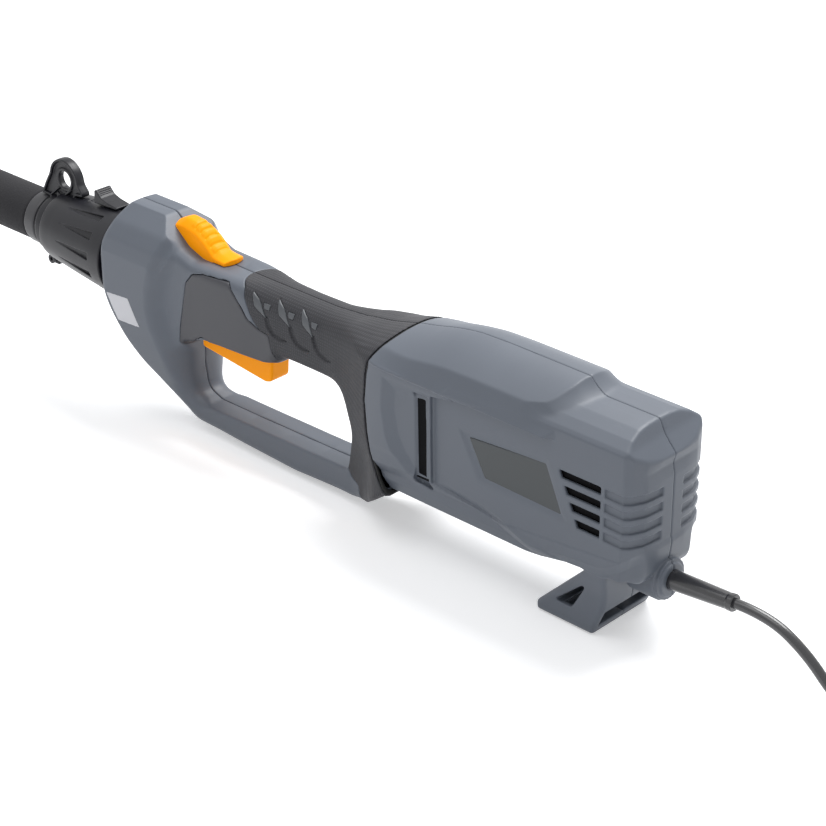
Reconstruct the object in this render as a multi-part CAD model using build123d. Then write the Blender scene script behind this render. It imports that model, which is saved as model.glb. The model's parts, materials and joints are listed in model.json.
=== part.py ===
from build123d import *
from math import asin, atan, cos, degrees, hypot, pi, radians, sin, tan
import os

# Pole hedge trimmer, millimetres. X runs along the tool, rearwards to the cord; +Y is the
# user's right; Z is up from the ground. The origin is on the ground under the rear foot.

# ---------------------------------------------------------------- driving dimensions
AXIS_Z = 115.7  # height of the pole and of the drive shaft in it
WALL = 2.8  # thickness of the housing shells
SKIN = 1.4  # thickness of the soft grip moulded over the handle
SLIP = 0.05  # radial clearance of a shaft that runs in a bore
LOOSE = 0.35  # clearance round a part that slides or turns by hand
SEAM = 0.02  # play between two parts that are clamped together

# motor housing
REAR_X = 61.0  # rear face
MOTOR_HALF_W = 43.0  # half width at the shoulder
MOTOR_BASE_HALF_W = 35.0  # half width at the belly
DECK_TOP = 40.8  # deck over the drive axis
HUMP_TOP = 50.8  # ridge over the drive axis
BELLY = -73.5  # belly below the drive axis
JOINT_X = -174.0  # where handle and motor housing meet, at the widest place
FOOT_FRONT = -23.0
FOOT_REAR = 23.0
FOOT_HALF_W = 30.0
FOOT_PLATE = 7.0
GLAND_Z = 46.5  # height of the cord's exit
GLAND_R = 13.0
GLAND_BORE_R = 6.0

# handle
RIM_X = -458.0  # front rim
RIM_R = 35.0
NOSE_TOP = 50.3  # front hump over the drive axis
GRIP_TOP = 26.3
GRIP_UNDER = -23.7
GRIP_HALF_W = 18.5
LOOP_TOP = 27.0  # height of the finger opening's floor above the ground
LOOP_HALF_W = 16.0
OPENING_FRONT = -379.0
OPENING_REAR = -212.0

# screws and pins
SCREW_R = 1.6
SCREW_HEAD_R = 3.2
BOSS_R = 4.3
HEAD_SINK = 6.0  # screw heads below the housing's side
PIN_R = 2.5
PIN_HALF_LENGTH = 13.0

# motor
MOTOR_DROP = 18.0  # motor axis below the drive axis
STATOR_R = 36.0
STATOR_BORE = 21.5
STATOR_FRONT = -98.0
STATOR_LENGTH = 55.0
AIR_GAP = 0.6
SHAFT_R = 4.0
COMMUTATOR_R = 13.0
COMMUTATOR_FRONT = -29.0
COMMUTATOR_LENGTH = 15.0
FAN_R = 34.0
FAN_FRONT = -126.0
FAN_LENGTH = 15.0
MOTOR_BEARING_R = 11.0
MOTOR_BEARING_W = 7.0
REAR_BEARING_R = 9.5

# first gear stage
SPUR_MODULE = 1.0
PINION_TEETH = 10
GEAR_TEETH = 26
GEAR_WIDTH = 9.0
GEAR_X = -148.0  # middle of the gears
DRIVE_BEARING_R = 8.0
DRIVE_BEARING_W = 4.0

# collar, slider lock, strap eye
COLLAR_FRONT_R = 25.0
COLLAR_FRONT_X = -541.0
SOCKET_R = 21.0
SOCKET_FRONT = -553.0
EYE_R = 6.8
EYE_THICK = 7.0
EYE_X = -532.0
EYE_Z = 41.5  # eye centre over the drive axis

# pole
TUBE_R = 13.5
TUBE_WALL = 1.5
TUBE_FRONT = -1372.0
FOAM_R = 20.5
FOAM_REAR = -566.0
FOAM_LENGTH = 240.0

# head
PIVOT_X = -1404.0
KNUCKLE_R = 17.0
FORK_GAP_HALF = 15.0
FORK_ARM = 5.0
PIVOT_BOLT_R = 4.0
BOLT_HEAD = 3.5
STUD_R = 3.0  # stud of the wing knob
STUD_LENGTH = 11.0
CRANK_AHEAD = 88.0  # crank axis ahead of the tilt pivot
BEVEL_MODULE = 1.4
BEVEL_PINION_TEETH = 10
BEVEL_GEAR_TEETH = 30
ECCENTRIC = 5.0
ECCENTRIC_R = 8.0
BLADE_THICK = 2.2
BLADE_REACH = 405.0  # toothed length
TOOTH_PITCH = 27.0
TOOTH_TIP = 27.0  # half width over the teeth
SPINE_HALF_W = 9.5
BAR_THICK = 2.5
BLADE_BOLT_R = 2.5

# cord
CORD_R = 3.55
PLUG_HALF_H = 13.0
PLUG_LENGTH = 44.0
PLUG_PIN_R = 2.4
PLUG_PIN_LENGTH = 19.0
PLUG_PITCH = 19.0


# ---------------------------------------------------------------- helpers
def high(offset):
    """Height above the ground of a place `offset` over the drive axis."""
    return AXIS_Z + offset


def rounded(plane, corners):
    """Closed face on a plane, from (u, v, radius) corners; radius 0 keeps one sharp."""
    face = plane * make_face(Polyline(*[(u, v) for u, v, _ in corners], close=True))
    for u, v, radius in corners:
        if radius > 0:
            place = (plane * Pos(u, v)).position
            face = fillet([p for p in face.vertices() if (p.center() - place).length < 0.001], radius)
    return face


def side_block(corners, half_width, middle=0.0):
    """Block with a side outline (x, z, radius), as wide as 2 * half_width about Y = middle."""
    return Pos(0, middle, 0) * extrude(rounded(Plane.XZ, corners), half_width, both=True)


def along_x(x, radius, length, z=AXIS_Z, y=0.0):
    """Cylinder along X from x to x + length."""
    return Pos(x + length / 2, y, z) * Rot(0, 90, 0) * Cylinder(radius, length)


def along_y(x, z, radius, length, y=0.0):
    """Cylinder along Y, centred on y."""
    return Pos(x, y, z) * Rot(90, 0, 0) * Cylinder(radius, length)


def along_z(x, y, low, high_z, radius):
    """Upright cylinder from one height to another."""
    return Pos(x, y, (low + high_z) / 2) * Cylinder(radius, high_z - low)


def block(x0, x1, y0, y1, z0, z1):
    """Box between two corners."""
    return Pos((x0 + x1) / 2, (y0 + y1) / 2, (z0 + z1) / 2) * Box(x1 - x0, y1 - y0, z1 - z0)


def ring_x(x, outer, inner, length, z=AXIS_Z):
    """Tube along X from x to x + length."""
    return along_x(x, outer, length, z) - along_x(x - 1, inner, length + 2, z)


def turned_x(points, z=AXIS_Z):
    """Solid of revolution about an axis along X, from (x, radius) points."""
    outline = [(x, z + r) for x, r in points]
    face = Plane.XZ * make_face(Polyline(*outline, close=True))
    return revolve(face, Axis((0, 0, z), (1, 0, 0)), 360)


def solids(shape):
    """The separate solids of a shape, largest first."""
    return sorted(shape.solids(), key=lambda one: -one.volume)


def left_half(shape):
    """The part of a shape on the user's left."""
    return shape & block(-700, 200, -200, 0, -50, 400)


def right_half(shape):
    """The part of a shape on the user's right."""
    return shape & block(-700, 200, 0, 200, -50, 400)


NODES = {}


def keep(name, *pieces):
    """File solids under a node's name."""
    loose = []
    for piece in pieces:
        loose += list(piece.solids())
    NODES[name] = Compound(children=loose) if len(loose) > 1 else loose[0]


# ---------------------------------------------------------------- housing sections
def six_sided(x, top_half, top, half, shoulder, base_half, base, inset, corner):
    """Housing section at x: narrow crown, wide shoulder, narrower belly."""
    top_half -= inset * 0.6
    half -= inset
    base_half -= inset
    top -= inset
    shoulder -= inset * 0.5
    base += inset
    points = [
        (top_half, top, corner),
        (half, shoulder, corner),
        (base_half, base, corner),
        (-base_half, base, corner),
        (-half, shoulder, corner),
        (-top_half, top, corner),
    ]
    return rounded(Plane.YZ.offset(x), points)


def box_section(x, low, top, half, corner, inset):
    """Rounded rectangle section at x."""
    height = top - low - 2 * inset
    wide = 2 * (half - inset)
    radius = min(max(corner - inset, 1.0), wide / 2 - 0.1, height / 2 - 0.1)
    return Plane.YZ.offset(x) * Pos(0, (low + top) / 2) * RectangleRounded(wide, height, radius)


def skinned(stations, inset):
    """Ruled solid through sections (x, low, top, half, corner); an inset moves its ends in too."""
    faces = []
    for count, (x, low, top, half, corner) in enumerate(stations):
        if count == 0:
            x += inset
        if count == len(stations) - 1:
            x -= inset
        faces.append(box_section(x, low, top, half, corner, inset))
    return loft(faces, ruled=True)


def motor_body(inset=0.0):
    """Motor housing without its foot."""
    stations = [
        (JOINT_X - 12, 14, 33, 37, 16, 32, -72),
        (JOINT_X + 24, 18, DECK_TOP, MOTOR_HALF_W - 0.5, 23, MOTOR_BASE_HALF_W, BELLY - 2),
        (-66.0, 20, DECK_TOP + 1, MOTOR_HALF_W, 27, MOTOR_BASE_HALF_W, BELLY),
        (REAR_X - 15, 22, DECK_TOP, MOTOR_HALF_W - 1, 30, MOTOR_BASE_HALF_W + 1, -66),
        (REAR_X - 5, 21, 30, MOTOR_HALF_W - 4.5, 24, MOTOR_BASE_HALF_W - 2, -63),
        (REAR_X, 18, 20, MOTOR_HALF_W - 13, 14, MOTOR_BASE_HALF_W - 9, -58),
    ]
    faces = []
    for count, (x, top_half, top, half, shoulder, base_half, base) in enumerate(stations):
        if count == len(stations) - 1:
            x -= inset
        shape = (top_half, high(top), half, high(shoulder), base_half, high(base))
        faces.append(six_sided(x, *shape, inset, 6.0))
    body = loft(faces, ruled=True)
    hump = [
        (JOINT_X + 24, 13, DECK_TOP + 0.5, 37, 31),
        (-78.0, 15, HUMP_TOP, 39, 36),
        (-10.0, 14, HUMP_TOP, 34, 36),
        (9.0, 10, DECK_TOP + 0.5, 22, 34),
    ]
    faces = []
    for x, top_half, top, base_half, base in hump:
        corners = [
            (top_half - inset * 0.5, high(top) - inset, 2.5),
            (base_half - inset, high(base) - inset, 0),
            (base_half - inset, high(base) - 12, 0),
            (inset - base_half, high(base) - 12, 0),
            (inset - base_half, high(base) - inset, 0),
            (inset * 0.5 - top_half, high(top) - inset, 2.5),
        ]
        faces.append(rounded(Plane.YZ.offset(x), corners))
    gland = along_x(REAR_X - 24, GLAND_R - inset, 24 - inset, GLAND_Z)
    return body + loft(faces, ruled=True) + gland


def handle_front(inset=0.0):
    """Nose of the handle, from the round rim to the front of the finger opening."""
    return skinned(
        [
            (RIM_X, high(-RIM_R), high(RIM_R), RIM_R, RIM_R),
            (RIM_X + 11, 68, high(47), RIM_R, 28),
            (RIM_X + 22, 57, high(NOSE_TOP), RIM_R - 0.5, 22),
            (RIM_X + 51, 30, high(NOSE_TOP), RIM_R - 4, 15),
            (RIM_X + 63, 19, high(NOSE_TOP - 1), 28.5, 13),
            (RIM_X + 72, 12, high(42), 25.5, 11),
            (OPENING_FRONT + 1, 9, high(36), 24, 10),
        ],
        inset,
    )


def handle_grip(inset=0.0):
    """Tube of the grip round the drive shaft, flaring into the motor housing."""
    under = high(GRIP_UNDER)
    top = high(GRIP_TOP)
    return skinned(
        [
            (OPENING_FRONT - 14, under - 3, top + 16, 25, 14),
            (OPENING_FRONT + 8, under - 3, top + 5, 22.5, 14),
            (OPENING_FRONT + 26, under - 3, top + 1, 21.5, 14),
            (-320, under - 3, top, 20, 14),
            (-280, under, top, GRIP_HALF_W, 14),
            (-236, under, top, 19.5, 15),
            (OPENING_REAR, under - 3, top + 1.5, 23.5, 16),
            (OPENING_REAR + 20, under - 8, top + 5, 30, 16),
            (JOINT_X, under - 10, top + 9, 38, 14),
            (JOINT_X + 26, under - 10, top + 16, 41, 12),
        ],
        inset,
    )


def handle_post(inset=0.0):
    """Rear post of the finger opening, widening down the joint with the motor housing."""
    return skinned(
        [
            (OPENING_REAR, 6, 100, 18, 10),
            (OPENING_REAR + 12, 8, 120, 23, 11),
            (OPENING_REAR + 22, 10, 125, 28, 11),
            (JOINT_X, 22, 130, 36, 10),
            (JOINT_X + 26, 42, 135, 39, 8),
        ],
        inset,
    )


def handle_loop(inset=0.0):
    """Bar under the finger opening."""
    return skinned(
        [
            (OPENING_FRONT - 17, 20, 44, 22, 10),
            (OPENING_FRONT, 8, LOOP_TOP, LOOP_HALF_W + 2, 9),
            (-340, 8, LOOP_TOP, LOOP_HALF_W, 9),
            (-277, 5, LOOP_TOP, LOOP_HALF_W, 9),
            (-238, 2.5, LOOP_TOP, LOOP_HALF_W, 9),
            (OPENING_REAR, 4, LOOP_TOP + 1, LOOP_HALF_W + 2, 9),
            (OPENING_REAR + 14, 9, LOOP_TOP + 8, 23, 9),
        ],
        inset,
    )


def opening_outline(grow=0.0):
    """Side outline of the finger opening, as rounded corners."""
    return [
        (OPENING_FRONT - grow, LOOP_TOP - grow, 18 + grow),
        (OPENING_REAR + grow, LOOP_TOP - grow, 7 + grow),
        (OPENING_REAR + grow - 1, high(GRIP_UNDER) + grow, 18 + grow),
        (OPENING_FRONT + 3 - grow, high(GRIP_UNDER) - 4 + grow, 6 + grow),
    ]


def opening_lining():
    """Solid web round the finger opening that rounds its corners."""
    return side_block(opening_outline(9.0), 11) - side_block(opening_outline(), 12)


def joint_cutter():
    """Everything forward of the curved joint between handle and motor housing."""
    edge = Spline(
        (JOINT_X + 24, high(50)),
        (JOINT_X + 9.5, high(36.5)),
        (JOINT_X, high(12)),
        (JOINT_X + 3.5, high(-39)),
        (JOINT_X + 17, high(-75)),
        (JOINT_X + 34, high(-95)),
    )
    rim = Polyline(
        (JOINT_X + 34, high(-95)),
        (JOINT_X + 34, high(-140)),
        (RIM_X - 100, high(-140)),
        (RIM_X - 100, high(90)),
        (JOINT_X + 24, high(90)),
        (JOINT_X + 24, high(50)),
    )
    return extrude(Plane.XZ * make_face([edge, rim]), 100, both=True)



# ---------------------------------------------------------------- shared places
MOTOR_Z = high(-MOTOR_DROP)
STATOR_REAR = STATOR_FRONT + STATOR_LENGTH
FAN_REAR = FAN_FRONT + FAN_LENGTH
GEAR_FRONT = GEAR_X - GEAR_WIDTH / 2
GEAR_REAR = GEAR_X + GEAR_WIDTH / 2
PLATE_FRONT = GEAR_REAR + 2.0
PLATE_REAR = FAN_FRONT - 1.5
REAR_BEARING_X = -4.0
TRIGGER_PIVOT = (OPENING_FRONT + 5.0, high(-21.7))
LOUVRES = 4
LOUVRE_PITCH = 10.4
LOUVRE_TOP = -1.4  # middle of the top louvre over the drive axis
LOUVRE_HALF_H = 2.8
LOUVRE_FRONT = -1.0  # front end of the top louvre
LOUVRE_STAGGER = 4.4  # how much further back each lower one starts
LOUVRE_REAR = 32.0
GROOVE_FRONT = 35.3
MOTOR_SCREWS = [  # x, z and the housing's half width there
    (-135.0, high(-60.0), 36.0),
    (-22.0, high(-62.0), 35.5),
    (44.0, high(16.0), 40.0),
    (-103.0, high(35.0), 31.0),
]
HANDLE_SCREWS = [
    (RIM_X + 36, high(36.0), 30.0),
    (RIM_X + 32, high(-38.0), 31.0),
    (OPENING_FRONT - 9.5, 34.0, 24.0),
    (-300.0, 15.5, 15.5),
    (OPENING_REAR + 17, 40.0, 24.5),
    (-262.0, high(17.5), 17.0),
]
SHAFT_WEBS = [-230.0, RIM_X + 20]  # handle webs that carry the drive shaft's bearings
JOINT_WEB = JOINT_X + 10


# ---------------------------------------------------------------- housing shells
def bosses(places):
    """Screw bosses from wall to wall, with their screw holes and sunk heads."""
    posts = []
    holes = []
    for x, z, side in places:
        posts.append(along_y(x, z, BOSS_R, 3 * MOTOR_HALF_W))
        tip = HEAD_SINK - side
        holes.append(along_y(x, z, SCREW_R, side + 30 - tip, (side + 30 + tip) / 2))
        holes.append(along_y(x, z, SCREW_HEAD_R + 0.3, 60, side - HEAD_SINK + 30))
    return posts, holes


def foot():
    """Hollow wedge under the gland that the tool stands on."""
    wedge = side_block(
        [
            (FOOT_FRONT, 0, 1.5),
            (FOOT_REAR, 0, 1.5),
            (FOOT_REAR + 8, 20, 0),
            (FOOT_REAR + 12, 49, 0),
            (FOOT_REAR - 2, 49, 0),
            (FOOT_FRONT, 5, 2.0),
        ],
        FOOT_HALF_W,
    )
    inside = side_block(
        [
            (FOOT_FRONT + 15, FOOT_PLATE, 0),
            (FOOT_REAR + 30, FOOT_PLATE, 0),
            (FOOT_REAR + 30, 18, 0),
            (FOOT_REAR + 3, 18, 0),
            (FOOT_REAR + 5, 39, 0),
            (FOOT_REAR - 5, 39, 0),
        ],
        FOOT_HALF_W - 4,
    )
    windows = side_block([(-3, 15, 0), (10, 15, 0), (16.5, 34.5, 0)], FOOT_HALF_W + 1)
    return wedge - inside - windows


def louvre_cuts():
    """Air inlets near the rear, and the outlet beside the fan, on both sides."""
    cuts = []
    for row in range(LOUVRES):
        z = high(LOUVRE_TOP - row * LOUVRE_PITCH)
        front = LOUVRE_FRONT + LOUVRE_STAGGER * row
        top = z + LOUVRE_HALF_H
        bottom = z - LOUVRE_HALF_H
        rear = LOUVRE_REAR
        outline = [(front - 1.2, top, 0), (rear, top, 0), (rear, bottom, 0), (front + 1.2, bottom, 0)]
        cuts.append(side_block(outline, 12, MOTOR_HALF_W))
        cuts.append(side_block(outline, 12, -MOTOR_HALF_W))
    outlet = [
        (FAN_FRONT + 4.5, high(-46), 0),
        (FAN_FRONT + 12, high(-46), 0),
        (FAN_FRONT + 12, high(7), 0),
        (FAN_FRONT + 4.5, high(7), 0),
    ]
    cuts.append(side_block(outlet, 12, MOTOR_HALF_W))
    cuts.append(side_block(outlet, 12, -MOTOR_HALF_W))
    return cuts


def corner_grooves():
    """Shallow grooves that carry the louvres on round the rear corners."""
    bands = []
    for row in range(LOUVRES):
        z = high(LOUVRE_TOP - row * LOUVRE_PITCH)
        low, top = z - LOUVRE_HALF_H, z + LOUVRE_HALF_H
        bands.append(block(GROOVE_FRONT, REAR_X + 1, 10, MOTOR_HALF_W + 1, low, top))
        bands.append(block(GROOVE_FRONT, REAR_X + 1, -MOTOR_HALF_W - 1, -10, low, top))
    return Compound(children=bands) - motor_body(1.2)


def motor_shells():
    """Left and right halves of the motor housing."""
    webs = [
        block(STATOR_FRONT + 3, STATOR_FRONT + 6, -50, 50, 20, MOTOR_Z + 16),
        block(STATOR_REAR - 6, STATOR_REAR - 3, -50, 50, 20, MOTOR_Z + 16),
        block(REAR_BEARING_X, REAR_BEARING_X + MOTOR_BEARING_W, -50, 50, 20, MOTOR_Z + 34),
        block(PLATE_FRONT + 4, PLATE_REAR - 4, -50, 50, 20, 200),
        block(JOINT_WEB - DRIVE_BEARING_W / 2, JOINT_WEB + DRIVE_BEARING_W / 2, -50, 50, 20, 200),
    ]
    posts, holes = bosses(MOTOR_SCREWS)
    cavity = motor_body(WALL) - webs - posts
    bores = [
        along_x(STATOR_FRONT, STATOR_R, STATOR_LENGTH, MOTOR_Z),
        along_x(REAR_BEARING_X - 1, REAR_BEARING_R, MOTOR_BEARING_W + 2, MOTOR_Z),
        along_x(JOINT_WEB - 3, DRIVE_BEARING_R, 6),
        along_x(REAR_X - 40, GLAND_BORE_R, 60, GLAND_Z),
        plate_blank(),
    ]
    shell = motor_body() + foot()
    shell -= [cavity, joint_cutter(), corner_grooves()] + bores + holes + louvre_cuts()
    keep("motor_shell_left", *solids(left_half(shell))[:1])
    keep("motor_shell_right", *solids(right_half(shell))[:1])


def handle_body(inset=0.0):
    """Whole outer form of the handle, or its hollow."""
    return handle_front(inset) + handle_grip(inset) + handle_post(inset) + handle_loop(inset)


def soft_zones():
    """Side outlines that the soft skin covers: the side panel and the grip with its rear post."""
    under = high(GRIP_UNDER)
    panel = side_block(
        [
            (OPENING_FRONT + 16, high(18), 2),
            (OPENING_FRONT + 3, high(-2), 6),
            (OPENING_FRONT - 4, high(-42), 2),
            (OPENING_FRONT + 12, high(-42), 2),
            (OPENING_FRONT + 14, high(-34), 0),
            (OPENING_FRONT + 26, under - 6, 0),
            (-272, under - 6, 0),
            (-287, high(-3.5), 2),
            (-305, high(-3), 6),
            (-314, high(6), 4),
            (-321, high(18), 3),
        ],
        60,
    )
    grip = side_block(
        [
            (-305, high(60), 0),
            (-313, high(26), 12),
            (-303, high(-5), 6),
            (-285, high(-4), 2),
            (-270, under - 8, 0),
            (-222, under - 8, 10),
            (OPENING_REAR - 4, 45, 10),
            (OPENING_REAR + 5, 26, 0),
            (OPENING_REAR + 8, 0, 0),
            (JOINT_X + 60, 0, 0),
            (JOINT_X + 60, high(60), 0),
        ],
        60,
    )
    return Compound(children=[panel, grip])


def handle_shells():
    """Left and right halves of the handle, and the soft skins let into them."""
    outer = handle_body()
    webs = [block(x - 2, x + 2, -50, 50, 60, 180) for x in SHAFT_WEBS]
    webs += [
        block(SPRING_X - 6, SPRING_X + 6, -50, 50, SPRING_SEAT, SPRING_SEAT + 2.2),
        block(LOCK_WALL_X, LOCK_WALL_X + 2.5, -50, 50, high(12), 160),
        block(*SWITCH_X, -50, 50, SWITCH_Z - 3, SWITCH_Z),
        along_y(*TRIGGER_PIVOT, 5.0, 24, 22.5),
        along_y(*TRIGGER_PIVOT, 5.0, 24, -22.5),
        opening_lining(),
    ]
    posts, holes = bosses(HANDLE_SCREWS)
    cavity = handle_body(WALL) - webs - posts
    rooms = trigger_rooms() + [lock_slot()]
    cuts = [
        cavity,
        along_x(RIM_X - 5, SOCKET_R + 0.4, 12),
        along_y(*TRIGGER_PIVOT, PIN_R, 2 * PIN_HALF_LENGTH),
    ]
    cuts += [along_x(x - 3, DRIVE_BEARING_R, 6) for x in SHAFT_WEBS]
    forward = joint_cutter()
    skins = ((outer - handle_body(SKIN)) & forward & soft_zones()) - rooms
    shell = (outer & forward) - [skins] - cuts - rooms - holes
    keep("handle_shell_left", *solids(left_half(shell))[:1])
    keep("handle_shell_right", *solids(right_half(shell))[:1])
    pads = solids(left_half(skins)) + solids(right_half(skins))
    keep("soft_grip", *[one for one in pads if one.volume > 200])


def shell_screws():
    """Cross screws that hold the shell halves together, heads on the right."""
    pieces = []
    for x, z, side in MOTOR_SCREWS + HANDLE_SCREWS:
        tip = HEAD_SINK - side
        seat = side - HEAD_SINK
        shank = along_y(x, z, SCREW_R, seat - tip, (seat + tip) / 2)
        head = along_y(x, z, SCREW_HEAD_R, 2.4, seat + 1.2)
        cross = Pos(x, seat + 2.4, z) * (Box(3.6, 1.6, 0.8) + Box(0.8, 1.6, 3.6))
        pieces.append(shank + head - cross)
    keep("shell_screws", *pieces)


# ---------------------------------------------------------------- trigger, lock-off, switch
TRIGGER_REAR = -297.0
TRIGGER_HALF_W = 9.0
TRIGGER_TOP = high(-18.7)
TRIGGER_SWING = 5.5  # degrees
SPRING_X = OPENING_FRONT + 44
SPRING_SEAT = high(-9.5)
SWITCH_X = (OPENING_FRONT - 41.5, OPENING_FRONT - 9.5)
SWITCH_Z = high(-54.0)
SWITCH_TOP = high(-23.0)
PLUNGER_X = TRIGGER_PIVOT[0] - 20
PLUNGER_TRAVEL = 2.0
LOCK_TRAVEL = 5.0
LOCK_STEM_X = OPENING_FRONT + 6
LOCK_WALL_X = LOCK_STEM_X + 24


def trigger_rooms():
    """Space in the handle for the trigger, its front arm and its hub."""
    side = TRIGGER_HALF_W + 0.8
    return [
        block(OPENING_FRONT + 5.5, TRIGGER_REAR + 2, -side, side, 58, SPRING_SEAT - 1),
        block(OPENING_FRONT - 27, OPENING_FRONT + 13, -12, 12, high(-31), high(-13.5)),
    ]


def trigger():
    """Pull trigger with its spring, pivot pin, and the switch that its front arm presses."""
    x0 = OPENING_FRONT
    lever = side_block(
        [
            (x0 + 9, high(-47), 2.5),
            (x0 + 36, high(-46.5), 20),
            (TRIGGER_REAR - 9, high(-53), 4),
            (TRIGGER_REAR - 3, high(-50), 4),
            (TRIGGER_REAR - 2, high(-38), 3),
            (TRIGGER_REAR, TRIGGER_TOP, 1),
            (x0 + 8, TRIGGER_TOP, 0),
            (x0 + 7, high(-38), 3),
        ],
        TRIGGER_HALF_W,
    )
    hub = along_y(*TRIGGER_PIVOT, 5.5, 2 * TRIGGER_HALF_W)
    arm_low = SWITCH_TOP + 3.8
    arm = block(PLUNGER_X - 3, TRIGGER_PIVOT[0] + 5, -6, 6, arm_low, arm_low + 3.5)
    lever += hub
    lever += arm
    lever -= along_y(*TRIGGER_PIVOT, PIN_R + SLIP, 40)
    keep("trigger", lever)
    keep("trigger_pin", along_y(*TRIGGER_PIVOT, PIN_R, 2 * PIN_HALF_LENGTH))
    keep("trigger_spring", coil_spring(SPRING_X, TRIGGER_TOP + 0.1, SPRING_SEAT - 0.1, 3.6, 0.55, 4))
    case = block(*SWITCH_X, -8.5, 8.5, SWITCH_Z, SWITCH_TOP)
    plunger_low = SWITCH_TOP - 5
    case -= along_z(PLUNGER_X, 0, plunger_low, SWITCH_TOP + 1, 2.0 + SLIP * 2)
    terminals = [
        block(x - 0.4, x + 0.4, -3, 3, SWITCH_TOP, SWITCH_TOP + 4)
        for x in (SWITCH_X[0] + 3, SWITCH_X[0] + 9)
    ]
    keep("trigger_switch", case + terminals[0] + terminals[1])
    top = arm_low - 0.3
    keep("switch_plunger", along_z(PLUNGER_X, 0, plunger_low + PLUNGER_TRAVEL + 0.5, top, 2.0))


def coil_spring(x, low, top, radius, wire, turns):
    """Upright compression spring."""
    height = top - low - 2 * wire
    path = Pos(x, 0, low + wire) * Helix(height / turns, height, radius)
    profile = Plane(origin=path @ 0, z_dir=path % 0) * Circle(wire)
    return sweep(profile, path, is_frenet=True)


def lock_slot():
    """Slot in the handle's top that the lock-off button's stem slides in."""
    return block(LOCK_STEM_X - 5.5, LOCK_STEM_X + 5.5 + LOCK_TRAVEL, -4.6, 4.6, high(12), high(60))


def lock_button():
    """Lock-off button on the slope of the handle, and its return spring."""
    x0 = OPENING_FRONT
    button = side_block(
        [
            (x0 - 31, high(NOSE_TOP + 0.5), 0),
            (x0 - 19, high(NOSE_TOP + 0.6), 0),
            (x0 - 11.5, high(45), 0),
            (x0 + 5.5, high(33.5), 0),
            (x0 + 24, high(28.2), 0),
            (x0 + 30, high(28.0), 0),
            (x0 + 52, high(27.6), 0),
            (x0 + 50, high(30.5), 2),
            (x0 + 32, high(32.5), 6),
            (x0 + 25, high(35), 3),
            (x0 + 13, high(45.5), 5),
            (x0 + 1, high(51.5), 5),
            (x0 - 10, high(53.5), 6),
            (x0 - 26, high(53), 4),
        ],
        9.5,
    )
    button -= handle_front(-LOOSE)
    button -= handle_grip(-LOOSE)
    button = solids(button)[0]
    stem = block(LOCK_STEM_X - 5, LOCK_STEM_X + 5, -4, 4, high(14), high(40))
    keep("lock_off_button", button + stem)
    spring = coil_spring(0, 0.1, LOCK_WALL_X - LOCK_STEM_X - 5.1, 2.8, 0.4, 6)
    lying = Pos(LOCK_STEM_X + 5, 0, high(19)) * Rot(0, 90, 0) * spring
    keep("lock_off_spring", lying)


# ---------------------------------------------------------------- motor
def sector(x, length, inner, outer, half_angle, middle):
    """Part of a tube along X, about the motor axis; middle is 90 for the top."""
    lower = radians(middle - half_angle)
    upper = radians(middle + half_angle)
    centre = radians(middle)
    rim = [(outer * cos(a), outer * sin(a)) for a in (lower, centre, upper)]
    bore = [(inner * cos(a), inner * sin(a)) for a in (upper, centre, lower)]
    edges = [
        ThreePointArc(*rim),
        Line(rim[2], bore[0]),
        ThreePointArc(*bore),
        Line(bore[2], rim[0]),
    ]
    face = Plane.YZ.offset(x) * Pos(0, MOTOR_Z) * make_face(edges)
    return extrude(face, length)


def stator():
    """Laminated field core with its two coils."""
    core = along_x(STATOR_FRONT, STATOR_R, STATOR_LENGTH, MOTOR_Z)
    core -= along_x(STATOR_FRONT - 1, STATOR_BORE, STATOR_LENGTH + 2, MOTOR_Z)
    coils = []
    for middle in (90, 270):
        core -= sector(STATOR_FRONT - 1, STATOR_LENGTH + 2, STATOR_BORE + 1.4, 31.2, 56, middle)
        coils.append(sector(STATOR_FRONT - 8, STATOR_LENGTH + 16, STATOR_BORE + 1.6, 31.0, 55, middle))
    for y in (-1, 1):
        core -= block(-200, 0, y * 34.5 - 5 + y * 5, y * 34.5 + 5 + y * 5, MOTOR_Z - 40, MOTOR_Z + 40)
    keep("stator_core", core)
    keep("field_coils", *coils)


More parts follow.
